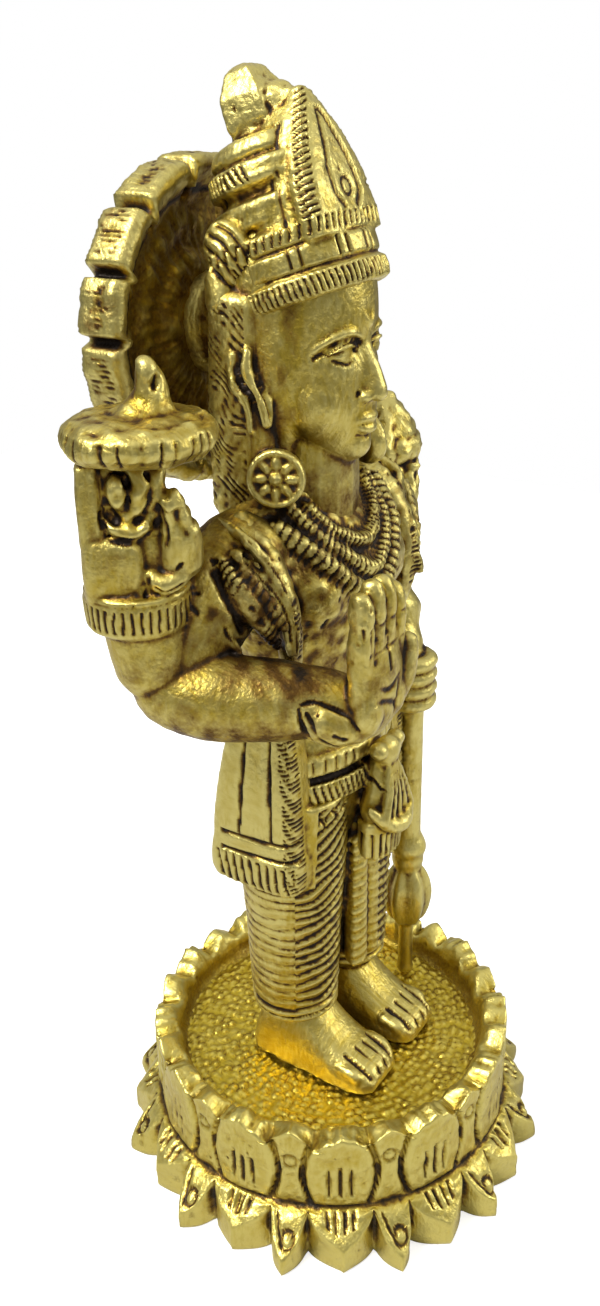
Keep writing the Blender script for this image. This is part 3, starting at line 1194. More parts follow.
def blessingHand():
    x, y = handForm["x"], handForm["y"]
    palm = stack([
        [47.4, 2.2, 1.5, y + 1.0, x], [49.2, 3.3, 1.9, y + 0.4, x], [51.6, 3.8, 1.9, y + 0.1, x],
        [54, 3.8, 1.6, y, x], [57.2, 3.5, 1.1, y, x],
    ], 40)
    heel = ball((x - 2.2, y - 0.4, 50.6), (1.7, 1.4, 2.4), 20)
    thumbBall = ball((x + 1.9, y - 0.3, 50.8), (1.7, 1.5, 2.4), 20)
    pieces = [palm, heel, thumbBall]
    for k, tip in enumerate(handForm["tips"]):
        fx = x + (k - 1.5) * handForm["pitch"]
        pieces.append(limb([
            [fx, y + 0.1, 54, 0.95], [fx, y, 56.4, 1.04], [fx, y - 0.15, 58.4, 0.96],
            [fx, y - 0.1, tip - 1.6, 0.96], [fx, y + 0.05, tip - 0.7, 0.8],
        ], (1, 1.2, 1)))
    pieces.append(limb([[x + 2.0, y + 0.2, 49.6, 1.5], [x + 3.5, y - 0.5, 51.8, 1.4],
                        [x + 4.2, y - 0.8, 54, 1.1], [x + 4.4, y - 0.9, 55.2, 0.8]]))
    return pieces


def chaseHand(co):
    x, y = handForm["x"], handForm["y"]
    depth = np.zeros(len(co))
    for k in range(3):
        gap = x + (k - 1) * handForm["pitch"]
        for side in (-1.7, 1.5):
            depth += cut(co, [[gap, y + side, 54.2], [gap, y + side * 0.8, 57], [gap, y + side * 0.6, 61]],
                         0.32, 0.26)
    for k in range(4):
        fx = x + (k - 1.5) * handForm["pitch"]
        for level in handForm["joints"]:
            depth += cut(co, [[fx - 0.9, y - 1.4, level], [fx + 0.9, y - 1.4, level]], 0.36, 0.18)
    return depth + cuts(co - [x, y, 0], palmCuts) + cuts(co, cuffCuts)


wheel = {"middle": (-20.8, 5.0), "low": 73.0, "notches": 28}


def chakra():
    shift = (*wheel["middle"], wheel["low"])
    rim = turned([[0, 0], [4.2, 0], [5.5, 0.35], [6.3, 1.1], [6.45, 1.8], [6.2, 2.6], [5.4, 3.2], [3.4, 3.6],
                  [0, 3.7]], 96)
    knob = stack([
        [3.0, 3.6, 3.2, 0, 0.2], [3.7, 2.7, 2.2, 0, 0.5], [4.5, 1.75, 1.5, 0, 0.9], [5.6, 1.35, 1.25, 0, 1.2],
        [6.8, 1.15, 1.1, 0, 1.1], [7.7, 0.75, 0.75, 0, 0.8], [8.0, 0.3, 0.3, 0, 0.7],
    ], 28, 3)
    return [placed(rim, shift=shift), placed(knob, turnZ=gripTurn, shift=shift)]


def chaseChakra(co):
    x, y, h = (co - [*wheel["middle"], wheel["low"]]).T
    radius, turn = np.hypot(x, y), np.arctan2(x, -y)
    on = within(h, -0.3, 8.8, 0.3) * (radius < 8)
    slide = turn + 0.07 * np.sin(3 * turn) + 0.03 * np.sin(11 * turn)
    notches = ticks(slide, 2 * math.pi / wheel["notches"], 7) * (0.55 + 0.45 * np.sin(9 * turn + 1))
    depth = -0.4 * on * within(radius, 5.0, 8, 0.5) * within(h, 0.4, 2.5, 0.4) * notches
    top = on * within(h, 2.9, 9, 0.3)
    depth += top * (0.13 * ripple(co, 2.4, 41) + 0.03 * ripple(co, 0.9, 42) + 0.14 * pits(co, 1.7, 46, 0.95))
    turnBack = np.array(Matrix.Rotation(math.radians(-gripTurn), 3, "Z"))
    spot = np.array([[1.9, -0.9, 6.5], [1.6, -1.1, 5.9]]) @ turnBack
    depth += cut(co, spot + [*wheel["middle"], wheel["low"]], 0.6, 0.6)
    return depth + on * within(radius, 5, 8, 0.5) * 0.16 * ripple(co, 3.4, 43)


conchForm = {
    "place": (20.2, 4.8, 59.4),
    "whorls": [[0, 1.6], [1.4, 3.0], [2.6, 3.2], [3.2, 2.9], [4.0, 3.8], [5.6, 3.9], [6.2, 3.4], [7.0, 3.3],
               [8.4, 2.4], [9.6, 1.5], [10.8, 0.6]],
    "lip": [[-2.4, -1.4, 1.2, 1.0], [-3.3, -1.6, 4.8, 1.3], [-2.4, -1.2, 7.4, 0.9], [-1.2, -0.6, 9.2, 0.6]],
}


def conch():
    x, y, low = conchForm["place"]
    lip = limb([[x + across, y + deep, low + z, r] for across, deep, z, r in conchForm["lip"]])
    return [stack([[low + z, r, r, y, x] for z, r in conchForm["whorls"]], 36, 3), lip]


maceForm = {"place": (13.204, -2.807), "lobes": 6}


def mace():
    x, y = maceForm["place"]
    shaft = turned([
        [0, 0], [1.0, 0], [1.05, 0.6], [0.9, 1.2], [0.9, 7], [1.5, 15], [1.9, 16.4], [1.9, 17.4], [2.2, 18.2],
        [2.1, 18.9], [1.5, 20.2], [1.45, 21], [1.4, 42], [0, 42],
    ], 28)
    rows = [[z, r, r] for z, r in ((7.4, 1.0), (8.2, 2.2), (10.2, 2.9), (12.6, 3.0), (14.6, 2.3),
                                   (15.8, 1.5))]
    head = stack(rows, 48, 4, 0, lambda turn: 1 - 0.1 * (1 - math.cos(maceForm["lobes"] * turn)))
    return [placed(piece, shift=(x, y, 0)) for piece in (shaft, head)]


def maceArm():
    ex, ey, ez = -leftElbow[0], leftElbow[1], leftElbow[2]
    x, y = maceForm["place"]
    arm = limb([
        [ex - 0.2, ey + 0.8, ez + 0.6, 2.6], [ex - 0.2, ey - 0.6, ez - 0.6, 3.6],
        [ex - 1, ey - 3.4, ez - 3, 3.5], [x + 1.4, y + 3.2, 45.6, 2.8], [x + 0.4, y + 1.6, 43.6, 2.5],
    ], fine=10)
    fist = limb([
        [x + 1.0, y + 2.4, 44.4, 2.0], [x - 0.2, y + 1.0, 42.4, 2.5],
        [x - 0.4, y + 0.6, 39.4, 2.3], [x - 0.4, y + 0.4, 37.4, 1.6],
    ])
    finger = limb([
        [x - 2.6, y + 1.2, 43, 0.7], [x - 1.8, y - 1.3, 42.9, 0.85],
        [x + 0.6, y - 1.9, 43, 0.85], [x + 2.0, y - 0.4, 43, 0.7],
    ])
    bangle = limb([[15.4, 1.6, 47.6, 3.4], [15.0, 1.1, 46.9, 3.6], [14.7, 0.7, 46.2, 3.3]], fine=10)
    return [arm, fist, finger, bangle] + [placed(copied(finger), shift=(0, 0, -1.6 * k)) for k in (1, 2, 3)]


def chaseRightArms(co):
    depth = chaseArmlet(co) + chaseHand(co) + chaseChakra(co) + chaseGrip(co, rightWrist, gripHeight)
    return depth + 0.022 * ripple(co, 1.8, 51)


def chaseLeftArms(co):
    flip = co * [-1, 1, 1]
    depth = chaseArmlet(flip) + chaseGrip(flip, leftWrist, leftGrip)
    depth += 0.1 * ripple(co, 1.6, 47) * within(co[:, 2], 60, 72, 1) * (co[:, 0] > 15)
    return depth + 0.025 * ripple(co, 1.8, 52)


print("right arms")
pieces = [upperArm(rightElbow)] + armlet() + raisedForearm(rightElbow, rightWrist)
pieces += blessingForearm(rightElbow) + blessingHand() + grippingHand(rightWrist, gripHeight) + chakra()
rightArms = cast("vishnu_right_arms", pieces, armForm["rightGrain"], 3)
chase(rightArms, chaseRightArms)

print("left arms")
pieces = [upperArm(leftElbow)] + armlet() + raisedForearm(leftElbow, leftWrist)
pieces += grippingHand(leftWrist, leftGrip)
for piece in pieces:
    piece.data.transform(Matrix.Scale(-1, 4, (1, 0, 0)))
    piece.data.flip_normals()
leftArms = cast("vishnu_left_arms", pieces + conch() + mace() + maceArm(), armForm["leftGrain"], 3)
chase(leftArms, chaseLeftArms)

# Legs, feet and the cloth beside them

legForm = {"x": -5.4, "y": 1.3, "pitch": 1.2, "grain": 0.24}


def leg():
    rows = [[7.2, 4.1], [8.2, 4.75], [10, 4.8], [14, 4.95], [20, 5.2], [26, 5.6], [31, 5.9], [35.5, 6.0]]
    return stack([[z, r, r, legForm["y"], legForm["x"]] for z, r in rows], 64)


# The foot is drawn from heel to toe, laid down and cut flat at the ground
toeTips = ((-2.9, -8.4, 0.7), (-1.55, -9.1, 0.72), (-0.1, -9.5, 0.75), (1.3, -9.5, 0.75), (2.75, -9.1, 0.95))


def foot():
    x = -4.6
    rows = [
        [-6.2, 2.2, 2.2], [-5.4, 3.0, 5.0], [-4.0, 3.4, 8.6], [-1.6, 3.6, 9.0], [0.8, 3.7, 8.4],
        [3.0, 3.8, 6.0], [5.4, 3.9, 4.0], [7.6, 3.8, 2.9], [9.0, 3.3, 2.2], [9.8, 2.4, 1.3],
    ]
    sole = placed(stack([row + [0, x] for row in rows], 48, 4, 2.5), turnX=90)
    use(sole)
    bpy.ops.object.mode_set(mode="EDIT")
    bpy.ops.mesh.select_all(action="SELECT")
    bpy.ops.mesh.bisect(plane_co=(0, 0, 0), plane_no=(0, 0, 1), use_fill=True, clear_inner=True)
    bpy.ops.object.mode_set(mode="OBJECT")
    toes = []
    for across, tip, size in toeTips:
        stations = ((-6.0, 2.1, size), (-7.8, 1.7, size), (tip + 0.5, 1.0, size * 0.8))
        toes.append(limb([[x + across, *station] for station in stations]))
    return [sole] + toes


# The sash end that hangs flat down the outside of the hip
def sidePanel():
    cloth = stack([
        [30.4, 2.8, 5.15, 2.1, -9.4], [33.6, 2.7, 5.0, 2.0, -9.5], [38, 2.5, 4.5, 1.7, -9.6],
        [42, 2.2, 3.9, 1.5, -9.5], [46.4, 1.8, 3.1, 1.3, -9.4],
    ], 56, 4, 4.5)
    fringe = stack([
        [26.0, 2.8, 5.2, 2.2, -9.2], [27.4, 3.05, 5.5, 2.2, -9.25], [29.4, 3.05, 5.4, 2.1, -9.3],
        [30.6, 2.8, 5.2, 2.1, -9.4],
    ], 56, 3, 4.5)
    return [cloth, fringe]


def centrePleats():
    pieces = [limb([[0, -1, 33, 2.0], [0, -1.6, 22, 2.0], [0, -1.6, 12.6, 1.8]])]
    edge = limb([[-0.9, -2.6, 33, 1.1], [-1.0, -3.6, 27, 1.2], [-1.1, -3.9, 20, 1.25],
                 [-1.2, -4.0, 12.4, 1.2]])
    tooth = limb([[-0.4, -4.6, 29, 0.42], [-1.5, -4.9, 28.75, 0.5], [-2.3, -4.3, 28.3, 0.38]], fine=3)
    teeth = [placed(copied(tooth), shift=(0, 0, -1.15 * k)) for k in range(1, 15)]
    return pieces + bothSides([edge, tooth] + teeth)


def chaseLegs(co):
    x, y, z = np.abs(co[:, 0]), co[:, 1], co[:, 2]
    out, back = x + legForm["x"], y - legForm["y"]
    radius = np.hypot(out, back)
    turn = np.arctan2(-back, out)  # 0 on the outer side, a quarter turn in front
    onLeg = (radius > 3.2) * (radius < 6.9) * within(z, 7.4, 35, 0.4)
    clear = ~((x > 8.4) & (z > 25.6)) & ~((x < 2.9) & (y < -2.4))
    inward = (1 - np.cos(turn)) / 2
    climb = np.interp(z, [8, 16, 24, 30, 36], [0.6, 1.8, 2.8, 4.8, 5.8])
    height = z - climb * inward + 0.14 * np.sin(3 * turn + z) + 0.16 * ripple(co, 6, 61) + 0.3 * (turn > 0.6)
    phase = np.mod(height / legForm["pitch"], 1)
    # Each wrap swells and tucks under the next
    wrap = np.where(phase < 0.72, (phase / 0.72) ** 0.8, (1 - phase) / 0.28)
    strong = 0.32 + 0.68 * np.clip((np.sin(turn) - 0.5) / 0.25, 0, 1)
    depth = onLeg * clear * strong * (-0.44 * (1 - wrap) + 0.08)
    tooth = np.abs(((turn * 5.9 / 2.0) % 1) - 0.5) * 2
    depth += -0.45 * onLeg * clear * np.exp(-(((z - 33.2 - 1.5 * tooth) / 0.3) ** 2))
    for level in (8.2, 9.3):
        depth += -0.35 * onLeg * np.exp(-(((z - level - 0.6 * inward) / 0.2) ** 2))
    # Panel: two long lines, two level lines, fringe strokes and a hatched border in front
    panel = (x > 10.4) * (z > 25.4) * (z < 47)
    for top, low in ((-0.2, -0.7), (2.3, 3.2)):
        depth += chartCut(y, z, (top, 45.5), (low, 32.4), 0.3, 0.5) * panel
    for level, deep in ((32.2, 0.4), (30.3, 0.42)):
        depth += panel * -deep * np.exp(-(((z - level + 0.05 * y) / 0.2) ** 2)) * (y < 5.6)
    fringe = within(z, 26.2, 29.6, 0.4) * within(y, -2.9, 6.2, 0.3)
    depth += -0.42 * panel * fringe * ticks(y - 0.1 * z + 0.1 * ripple(co, 4, 62), 0.98, 4)
    edge = np.interp(z, [26, 30, 38, 46], [-3.0, -2.8, -2.6, -1.7])
    depth += -0.2 * (x > 9.8) * (y < edge + 0.75) * within(z, 26, 46, 0.4) * ticks(z + 0.3 * y, 0.55, 2)
    spots = np.stack([x, y, z], 1)
    depth += cut(spots, [[11.2, -1.8, 45.6], [11.6, -2.9, 38], [11.8, -3.2, 30], [11.8, -3.3, 26.4]],
                 0.45, 0.6)
    for gap, start in ((2.35, -6.3), (3.75, -6.6), (5.2, -6.4), (6.75, -6.0)):
        depth += cut(spots, [[gap, start, 3.2], [gap, -7.8, 2.5], [gap, -9.8, 1.4]], 0.36, 0.38)
    return depth + 0.02 * ripple(co, 1.5, 61)


print("legs")
pieces = bothSides([leg()] + foot() + sidePanel()) + centrePleats()
legs = cast("vishnu_legs", pieces, legForm["grain"], 2)
chase(legs, chaseLegs, True)

# Pedestal: spun plain, then the petals are drawn out of the lower ring and cut into the drum and its rim

pedestalForm = {
    "pairs": 12,
    "turn": -56,
    "columns": 588,
    "drumRadius": 20.5,
    "footHeight": 6.2,
    "rimHeight": 16.0,
    "notch": 1.7,
    "rimWidth": 3.3,
    "floorHeight": 12.3,
    "wideTip": 23.6,
    "narrowTip": 24.7,
    "valley": 20.9,
}
floorRadius = pedestalForm["drumRadius"] - pedestalForm["rimWidth"]
wall = pedestalForm["drumRadius"] - 0.12


def pedestalBody():
    valley, low = pedestalForm["valley"], 6.25
    profile = [[0, 0], [0.6, 0], [11, 0], [19.6, 0], [valley, 0]]
    profile += [[valley, z] for z in (0.15, 0.5, 0.9, 1.3, 1.7, 2.1, 2.4)]
    profile += [[valley, z] for z in np.linspace(2.7, 5.1, 14)]
    profile += [[valley - 0.04, 5.3], [valley - 0.12, 5.5], [valley - 0.22, 5.7], [valley - 0.34, 5.9],
                [wall, 6.1]]
    profile += [[wall, z] for z in np.linspace(low, 13.8, 34)]
    profile += [[wall, z] for z in (14.1, 14.4, 14.7, 15.0, 15.3, 15.6)]
    profile += [[wall - 0.02, 15.85], [wall - 0.12, 15.97], [wall - 0.3, 16.0]]
    inner = ((0.6, 0), (0.9, 0.02), (1.2, 0.05), (1.5, 0.1), (1.8, 0.2), (2.1, 0.4), (2.35, 0.7), (2.55, 1.1),
             (2.7, 1.5), (2.85, 2.0), (2.95, 2.5), (3.05, 3.0), (3.2, 3.4), (3.5, 3.9), (4.4, 4.3), (10, 4.4))
    profile += [[wall - inset, 16 - drop] for inset, drop in inner] + [[0.6, 11.6], [0, 11.6]]
    return turned(profile, pedestalForm["columns"])


def grooveShare(height):
    span = pedestalForm["rimHeight"] - pedestalForm["notch"] - pedestalForm["footHeight"]
    return 0.29 + 0.09 * np.sin(math.pi * np.clip((height - pedestalForm["footHeight"]) / span, 0, 1))


# 0 at a petal's middle and 1 in the groove beside it, and whether the petal is a wide one
def petalPlace(share, groove):
    near = np.minimum(share, 1 - share)
    wide = near < groove
    return np.where(wide, near / groove, (0.5 - near) / (0.5 - groove)), wide


def pairShare(co):
    turn = np.arctan2(co[:, 0], -co[:, 1]) - math.radians(pedestalForm["turn"])
    pair = turn * pedestalForm["pairs"] / (2 * math.pi)
    return pair - np.floor(pair), np.floor(pair)


def drawPetals(co):
    form = pedestalForm
    share, number = pairShare(co)
    radius, z = np.hypot(co[:, 0], co[:, 1]), co[:, 2]
    # The lower ring
    place, wide = petalPlace(share, 0.325)
    tip = np.where(wide, form["wideTip"], form["narrowTip"]) + 0.25 * np.sin(number * 5.1 + 2 * wide)
    tip = np.minimum(tip, form["narrowTip"])
    shape = np.where(wide, 1 - 0.8 * place - 0.2 * place**5, 1 - 0.55 * place - 0.45 * place**4)
    below = z < 6.05
    out = np.interp(z, [0, 0.2, 1.9, 2.4, 2.7, 6.05], [0.9, 0.98, 1, 0.97, 0.9, 0])
    grow = np.where(below, 1 + (tip / form["valley"] - 1) * shape * out, 1)
    edgeHeight = 5.75 - 0.95 * (tip - form["valley"]) * shape
    slope = np.interp(z, [2.4, 6.05], [0, 1])
    top = edgeHeight + (6.05 - edgeHeight) * slope
    z = np.where(below & (radius > 20), np.where(z < 2.4, z / 2.4 * edgeHeight, top), z)
    # The drum's petals stand a little proud between their grooves
    place, wide = petalPlace(share, grooveShare(z))
    groove = np.exp(-(((1 - place) / np.where(wide, 0.1, 0.2)) ** 2))
    swell = -0.55 * groove + np.where(wide, 0.12 * (1 - place**2), -0.12)
    onWall = within(z, 6.3, 15.9, 0.2) * (radius > wall - 0.5)
    grow = grow * (1 + swell * onWall / form["drumRadius"])
    # The rim drops between its tips
    place, wide = petalPlace(share, 0.29)
    crest = np.where(wide, place**1.5 + 0.16 * np.sin(place * 2 * math.pi) ** 2, place**1.3)
    relief = np.interp(wall - radius, [0.6, 1.2, 1.8, 2.35, 2.7, 3.05], [1, 0.93, 0.8, 0.6, 0.4, 0])
    onRim = np.clip((z - 13.8) / 1.8, 0, 1) * (radius > floorRadius - 0.2)
    uneven = 1 + 0.18 * np.sin(number * 3.3 + 4 * wide)
    drop = form["notch"] * np.clip(crest, 0, 1) * relief * onRim * uneven
    drop = drop + onRim * relief * 0.25 * (1 + np.sin(number * 2.1 + 3 * wide))
    return np.stack([co[:, 0] * grow, co[:, 1] * grow, z - drop], 1)


def chasePedestal(co):
    form = pedestalForm
    share, number = pairShare(co)
    radius, z = np.hypot(co[:, 0], co[:, 1]), co[:, 2]
    arc = 2 * math.pi * form["drumRadius"] / form["pairs"]
    fromWide = (share - np.round(share)) * arc
    fromNarrow = (share - 0.5) * arc
    drum = within(z, 6.4, 15.5, 0.2) * within(radius, 19.4, 21.4, 0.2)
    wobble = 0.25 * np.sin(number * 2.4)
    # The strokes are deep on the petals before the figure's right foot and worn beside them
    ahead = np.arctan2(co[:, 0], -co[:, 1]) - math.radians(pedestalForm["turn"])
    fresh = 0.15 + 0.85 * within(np.degrees(np.arctan2(np.sin(ahead), np.cos(ahead))), -45, 52, 2)
    depth = np.zeros(len(co))
    for k in (-1, 0, 1):
        top = (k * 1.15 + wobble * 0.5, 11.6 - 0.3 * abs(k) + wobble)
        depth += drum * fresh * chartCut(fromWide, z, top, (k * 1.2, 7.7), 0.32, 0.55)
    depth += drum * chartRing(fromNarrow, z, (0, 12.2 + 0.4 * np.sin(number * 1.7)), 0.75, 0.28, 0.32)
    for side in (-1, 1):
        edge = side * grooveShare(z) * arc
        depth += -0.32 * drum * within(z, 7.0, 14.2, 0.8) * np.exp(-(((fromWide - edge) / 0.22) ** 2))
    depth += -0.1 * within(z, 5.8, 6.4, 0.3) * within(radius, 19.5, 21.6, 0.3)
    # Three cuts on a lower wide petal, a curl on a narrow one
    lower = within(z, 1.6, 6.0, 0.3) * (radius > 20.4)
    for k in (-1.5, -0.5, 0.5, 1.5):
        end = (k * 0.75 + wobble, 22.4 - 0.2 * abs(k))
        depth += lower * chartCut(fromWide, radius, (k * 0.9 + wobble, 20.8), end, 0.3, 0.6)
    depth += lower * chartRing(fromNarrow - 0.25, radius, (0, 23.1), 0.62, 0.26, 0.32)
    depth += lower * chartCut(fromNarrow, radius, (-1.1, 21.4), (-0.6, 22.9), 0.26, 0.3)
    # Pads with pits on the inner side of the rim
    inner = within(radius, 16.6, 19.9, 0.4) * (z > 12.4)
    depth += inner * (0.13 * ripple(co, 3.4, 71) + 0.05 * ripple(co, 1.8, 72) + 0.3 * pits(co, 2.8, 73, 1.0))
    rough = 0.07 * ripple(co, 3.0, 74) + 0.03 * ripple(co, 1.1, 75) + 0.25 * pits(co, 1.6, 76, 1.15)
    return depth + (z > 0.3) * rough


# The sunk floor is stippled with small rounded grains in uneven rings
floorForm = {"ringPitch": 0.92, "grainPitch": 0.98, "rise": 0.3, "columns": 420, "rows": 76}


def dishFloor():
    top = pedestalForm["floorHeight"] - 0.3
    radii = (floorRadius + 0.45) * np.sqrt(np.linspace(1, 0.002, floorForm["rows"]) ** 1.35)
    profile = [[0, top - 1], [0.6, top - 1], [radii[0], top - 1]] + [[r, top] for r in radii] + [[0, top]]
    return turned(profile, floorForm["columns"])


# A repeatable number between 0 and 1 for each grain
def chance(ring, slot, a, b, c):
    value = np.sin(ring * a + slot * b) * c
    return value - np.floor(value)


def grainHeight(co):
    radius = np.hypot(co[:, 0], co[:, 1])
    turn = np.arctan2(co[:, 0], -co[:, 1])
    ring = np.round(radius / floorForm["ringPitch"] - 0.5)
    lift = np.zeros(len(co))
    for ringShift in (-1, 0, 1):
        k = ring + ringShift
        middle = (k + 0.5) * floorForm["ringPitch"]
        count = np.maximum(np.round(2 * math.pi * middle / floorForm["grainPitch"]), 1)
        slot = np.round((turn + k * 0.7) * count / (2 * math.pi))
        for slotShift in (-1, 0, 1):
            s = np.mod(slot + slotShift, count)
            one, two = chance(k, s, 12.9898, 78.233, 43758.5453), chance(k, s, 39.3467, 11.135, 24634.6345)
            angle = (s + 0.75 * (one - 0.5)) * 2 * math.pi / count - k * 0.7
            r = middle + 0.5 * (two - 0.5)
            far = np.hypot(co[:, 0] - np.sin(angle) * r, co[:, 1] + np.cos(angle) * r)
            bump = np.clip(1 - (far / (0.46 + 0.16 * one)) ** 2, 0, 1) ** 1.6 * (0.4 + 0.75 * two)
            lift = np.maximum(lift, bump)
    return lift * (0.35 + 0.65 * np.clip(radius / 9, 0, 1))


print("pedestal")
shell = pedestalBody()
shell.name = shell.data.name = "lotus_petals"
co, _ = pointsOf(shell)
setPoints(shell, drawPetals(co))
chase(shell, chasePedestal, True)
floor = dishFloor()
floor.name = floor.data.name = "lotus_floor"
co, normals = pointsOf(floor)
reach = np.hypot(co[:, 0], co[:, 1])
onTop = (co[:, 2] > pedestalForm["floorHeight"] - 0.5) * within(reach, -1, floorRadius - 0.2, 0.4)
co[:, 2] += onTop * (floorForm["rise"] * grainHeight(co) + 0.04 * ripple(co, 5, 77))
setPoints(floor, co)

# How much darkness each place keeps
tarnish = {
    "chest": 0.38,
    "locks": 0.22,
    "throat": 0.4,
    "face": 0.18,
    "haloRim": 0.36,
    "haloDish": 0.088,
    "stub": 0.3,
    "armlet": 0.5,
    "forearmEdge": 0.34,
    "elbow": 0.2,
    "rightArm": 0.19,
    "cuff": 0.1,
    "sole": 0.2,
    "foot": 0.12,
}
figurePart = {"node": "vishnu_figure", "slot": "figure_brass", "finish": figureBrass}
pedestalPart = {"node": "lotus_pedestal", "slot": "pedestal_brass", "rise": 0}


def armletShade(x, z, side):
    return tarnish["armlet"] * np.exp(-(((x - side * 13) / 4.6) ** 2) - (((z - 60) / 5.5) ** 2))


print("patina")
x, y, z = pointsOf(body)[0].T
finishPiece(body, **figurePart, zone=tarnish["chest"] * within(z, 47, 67, 5) * (y < 6), rub=0.3)

x, y, z = pointsOf(head)[0].T
dim = tarnish["locks"] * within(z, 60, 86, 4) * np.clip(y - 0.6, 0, 1) * (np.abs(x) > 5)
dim += tarnish["throat"] * within(z, 58, 69.5, 3) * (np.hypot(x, y - 2.4) < 5.7)
plainFace = within(z, chin - 0.5, headForm["hairLine"] + 2, 1) * np.clip(0.8 - y, 0, 1) * (np.abs(x) < 7.2)
finishPiece(head, **figurePart, zone=dim - tarnish["face"] * plainFace, rub=0.35)

z = pointsOf(crown)[0][:, 2]
finishPiece(crown, **figurePart, rub=0.35 + 0.05 * np.clip(z - 90, 0, 10))

x, y, z = pointsOf(haloPiece)[0].T
inDish = np.hypot(x, z - haloForm["middle"]) < 11.5
dim = tarnish["haloRim"] + tarnish["haloDish"] * inDish
finishPiece(haloPiece, **figurePart, zone=dim, rub=0.0, darkest=np.where(inDish, 0.44, 1))
finishPiece(stub, **figurePart, zone=tarnish["stub"])

# Brown along the forearm's upper edge and under the elbow
x, y, z = pointsOf(rightArms)[0].T
dim = armletShade(x, z, -1) * (y > -7) + tarnish["rightArm"] + tarnish["cuff"] * within(z, 44, 55, 2)
dim += tarnish["forearmEdge"] * within(z, 52.6, 56, 1.2) * within(y, -9, 1, 2) * within(x, -18, -9, 2)
dim += tarnish["elbow"] * np.clip((51.5 - z) / 3, 0, 1) * (y > -8)
finishPiece(rightArms, **figurePart, zone=dim, rub=0.2)

x, y, z = pointsOf(leftArms)[0].T
finishPiece(leftArms, **figurePart, zone=armletShade(x, z, 1))

x, y, z = pointsOf(legs)[0].T
dim = tarnish["sole"] * np.clip((2.6 - z) / 2.6, 0, 1) * (y > -6) - tarnish["foot"] * (z < 7)
finishPiece(legs, **figurePart, zone=dim, rub=0.05 + 0.5 * (np.abs(x) > 10.2) + 0.25 * (z < 7))

x, y, z = pointsOf(shell)[0].T
dip = within(np.hypot(x, y), 14, 20.2, 0.4) * (z > 11)
look = {"zone": -0.08 - 0.2 * dip, "rub": 0.4, "darkest": 0.85 - 0.5 * dip}
finishPiece(shell, **pedestalPart, finish=pedestalBrass, **look)
finishPiece(floor, **pedestalPart, finish=dishBrass, zone=-0.3, rub=0.35, darkest=0.55)

# Studio

studio = {
    "floorSize": 0.5,
    "paper": (0.58, 0.58, 0.58, 1),
    "paperGlow": 0.72,
    "overhead": 0.84,
    "horizon": 0.2,
    "sun": {"turn": (42, 0, -112), "strength": 3.2, "spread": 20},
    "fill": {"place": (0.25, -0.40, 0.25), "size": 0.25, "watts": 0.8},
}


def paper():
    bpy.ops.mesh.primitive_plane_add(size=studio["floorSize"], location=(0, 0, -0.0002))
    sheet = bpy.context.object
    sheet.name = "paper"
    bpy.ops.object.transform_apply(location=True, rotation=True, scale=True)
    material = bpy.data.materials.new("white paper")
    material.use_nodes = True
    shader = material.node_tree.nodes["Principled BSDF"]
    shader.inputs["Base Color"].default_value = studio["paper"]
    shader.inputs["Roughness"].default_value = 0.9
    shader.inputs["Specular IOR Level"].default_value = 0.0
    shader.inputs["Emission Color"].default_value = (1, 1, 1, 1)
    nodes, links = material.node_tree.nodes, material.node_tree.links
    path = nodes.new("ShaderNodeLightPath")
    glow = nodes.new("ShaderNodeMath")
    glow.operation = "MULTIPLY"
    glow.inputs[1].default_value = studio["paperGlow"]
    links.new(path.outputs["Is Camera Ray"], glow.inputs[0])
    links.new(glow.outputs[0], shader.inputs["Emission Strength"])
    sheet.data.materials.append(material)


def lights():
    look = studio["sun"]
    data = bpy.data.lights.new("sun", "SUN")
    data.energy = look["strength"]
    data.angle = math.radians(look["spread"])
    sun = bpy.data.objects.new("sun", data)
    sun.rotation_euler = [math.radians(v) for v in look["turn"]]
    bpy.context.scene.collection.objects.link(sun)
    look = studio["fill"]
    data = bpy.data.lights.new("fill", "AREA")
    data.energy = look["watts"]
    data.size = look["size"]
    fill = bpy.data.objects.new("fill", data)
    fill.location = look["place"]
    fill.rotation_euler = (Vector((0, 0, 0.055)) - Vector(look["place"])).to_track_quat("-Z", "Y").to_euler()
    bpy.context.scene.collection.objects.link(fill)


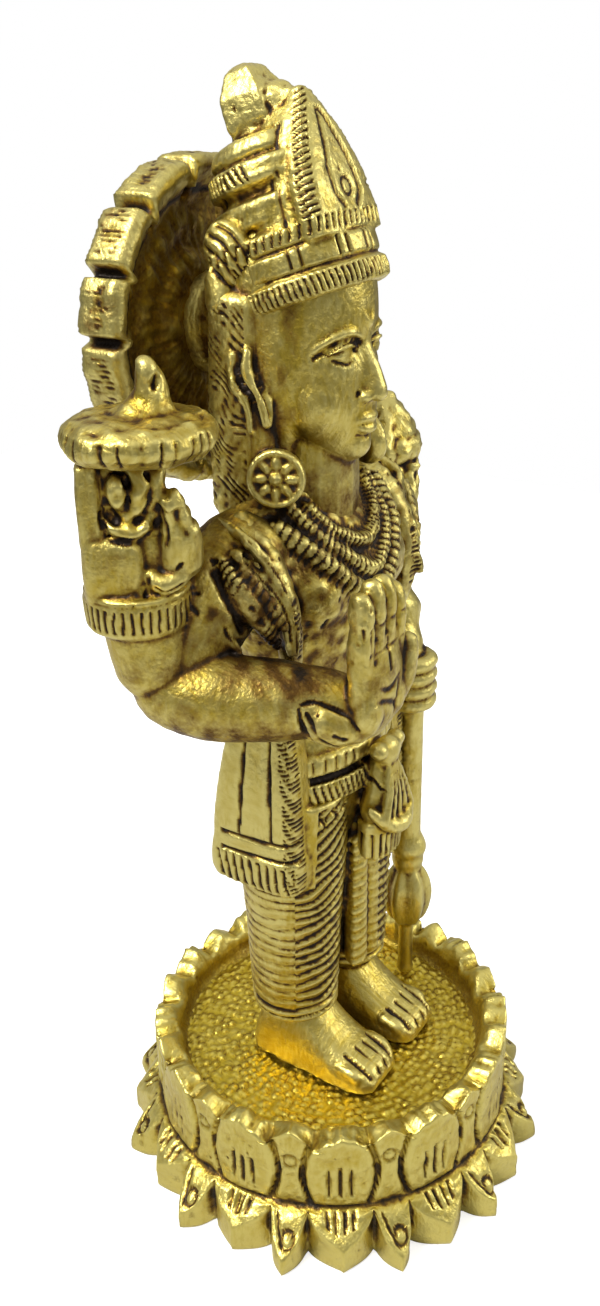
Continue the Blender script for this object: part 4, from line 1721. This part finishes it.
# White behind the object. The metal reflects a room that is bright overhead and darker towards the walls.
def room():
    world = bpy.data.worlds.new("studio")
    world.use_nodes = True
    nodes, links = world.node_tree.nodes, world.node_tree.links
    background = nodes["Background"]
    background.inputs["Color"].default_value = (1, 1, 1, 1)
    place = nodes.new("ShaderNodeTexCoord")
    height = nodes.new("ShaderNodeSeparateXYZ")
    links.new(place.outputs["Generated"], height.inputs[0])
    glow = nodes.new("ShaderNodeMapRange")
    span = (("From Min", 0.1), ("From Max", 0.8), ("To Min", studio["horizon"]), ("To Max", studio["overhead"]))
    for called, number in span:
        glow.inputs[called].default_value = number
    links.new(height.outputs["Z"], glow.inputs["Value"])
    path = nodes.new("ShaderNodeLightPath")
    shown = nodes.new("ShaderNodeMath")
    shown.operation = "MAXIMUM"
    links.new(glow.outputs["Result"], shown.inputs[0])
    links.new(path.outputs["Is Camera Ray"], shown.inputs[1])
    links.new(shown.outputs[0], background.inputs["Strength"])
    bpy.context.scene.world = world


# The photograph's view in metres, with its roll in radians
photoView = {
    "sensor": 36,
    "lens": 33.08,
    "nearest": 0.005,
    "place": (-0.093716, -0.057438, 0.112135),
    "ahead": (0.75986, 0.49346, -0.42322),
    "roll": -0.0177,
}


def photoCamera():
    data = bpy.data.cameras.new("camera")
    data.sensor_width = photoView["sensor"]
    data.lens = photoView["lens"]
    data.clip_start = photoView["nearest"]
    camera = bpy.data.objects.new("camera", data)
    ahead = Vector(photoView["ahead"]).normalized()
    level = ahead.cross(Vector((0, 0, 1))).normalized()
    raised = level.cross(ahead)
    roll = photoView["roll"]
    right = level * math.cos(roll) + raised * math.sin(roll)
    up = raised * math.cos(roll) - level * math.sin(roll)
    turn = Matrix((right, up, -ahead)).transposed().to_4x4()
    camera.matrix_world = Matrix.Translation(Vector(photoView["place"])) @ turn
    bpy.context.scene.collection.objects.link(camera)
    bpy.context.scene.camera = camera


print("studio")
paper()
lights()
room()
photoCamera()
bpy.context.scene.view_settings.view_transform = "Standard"
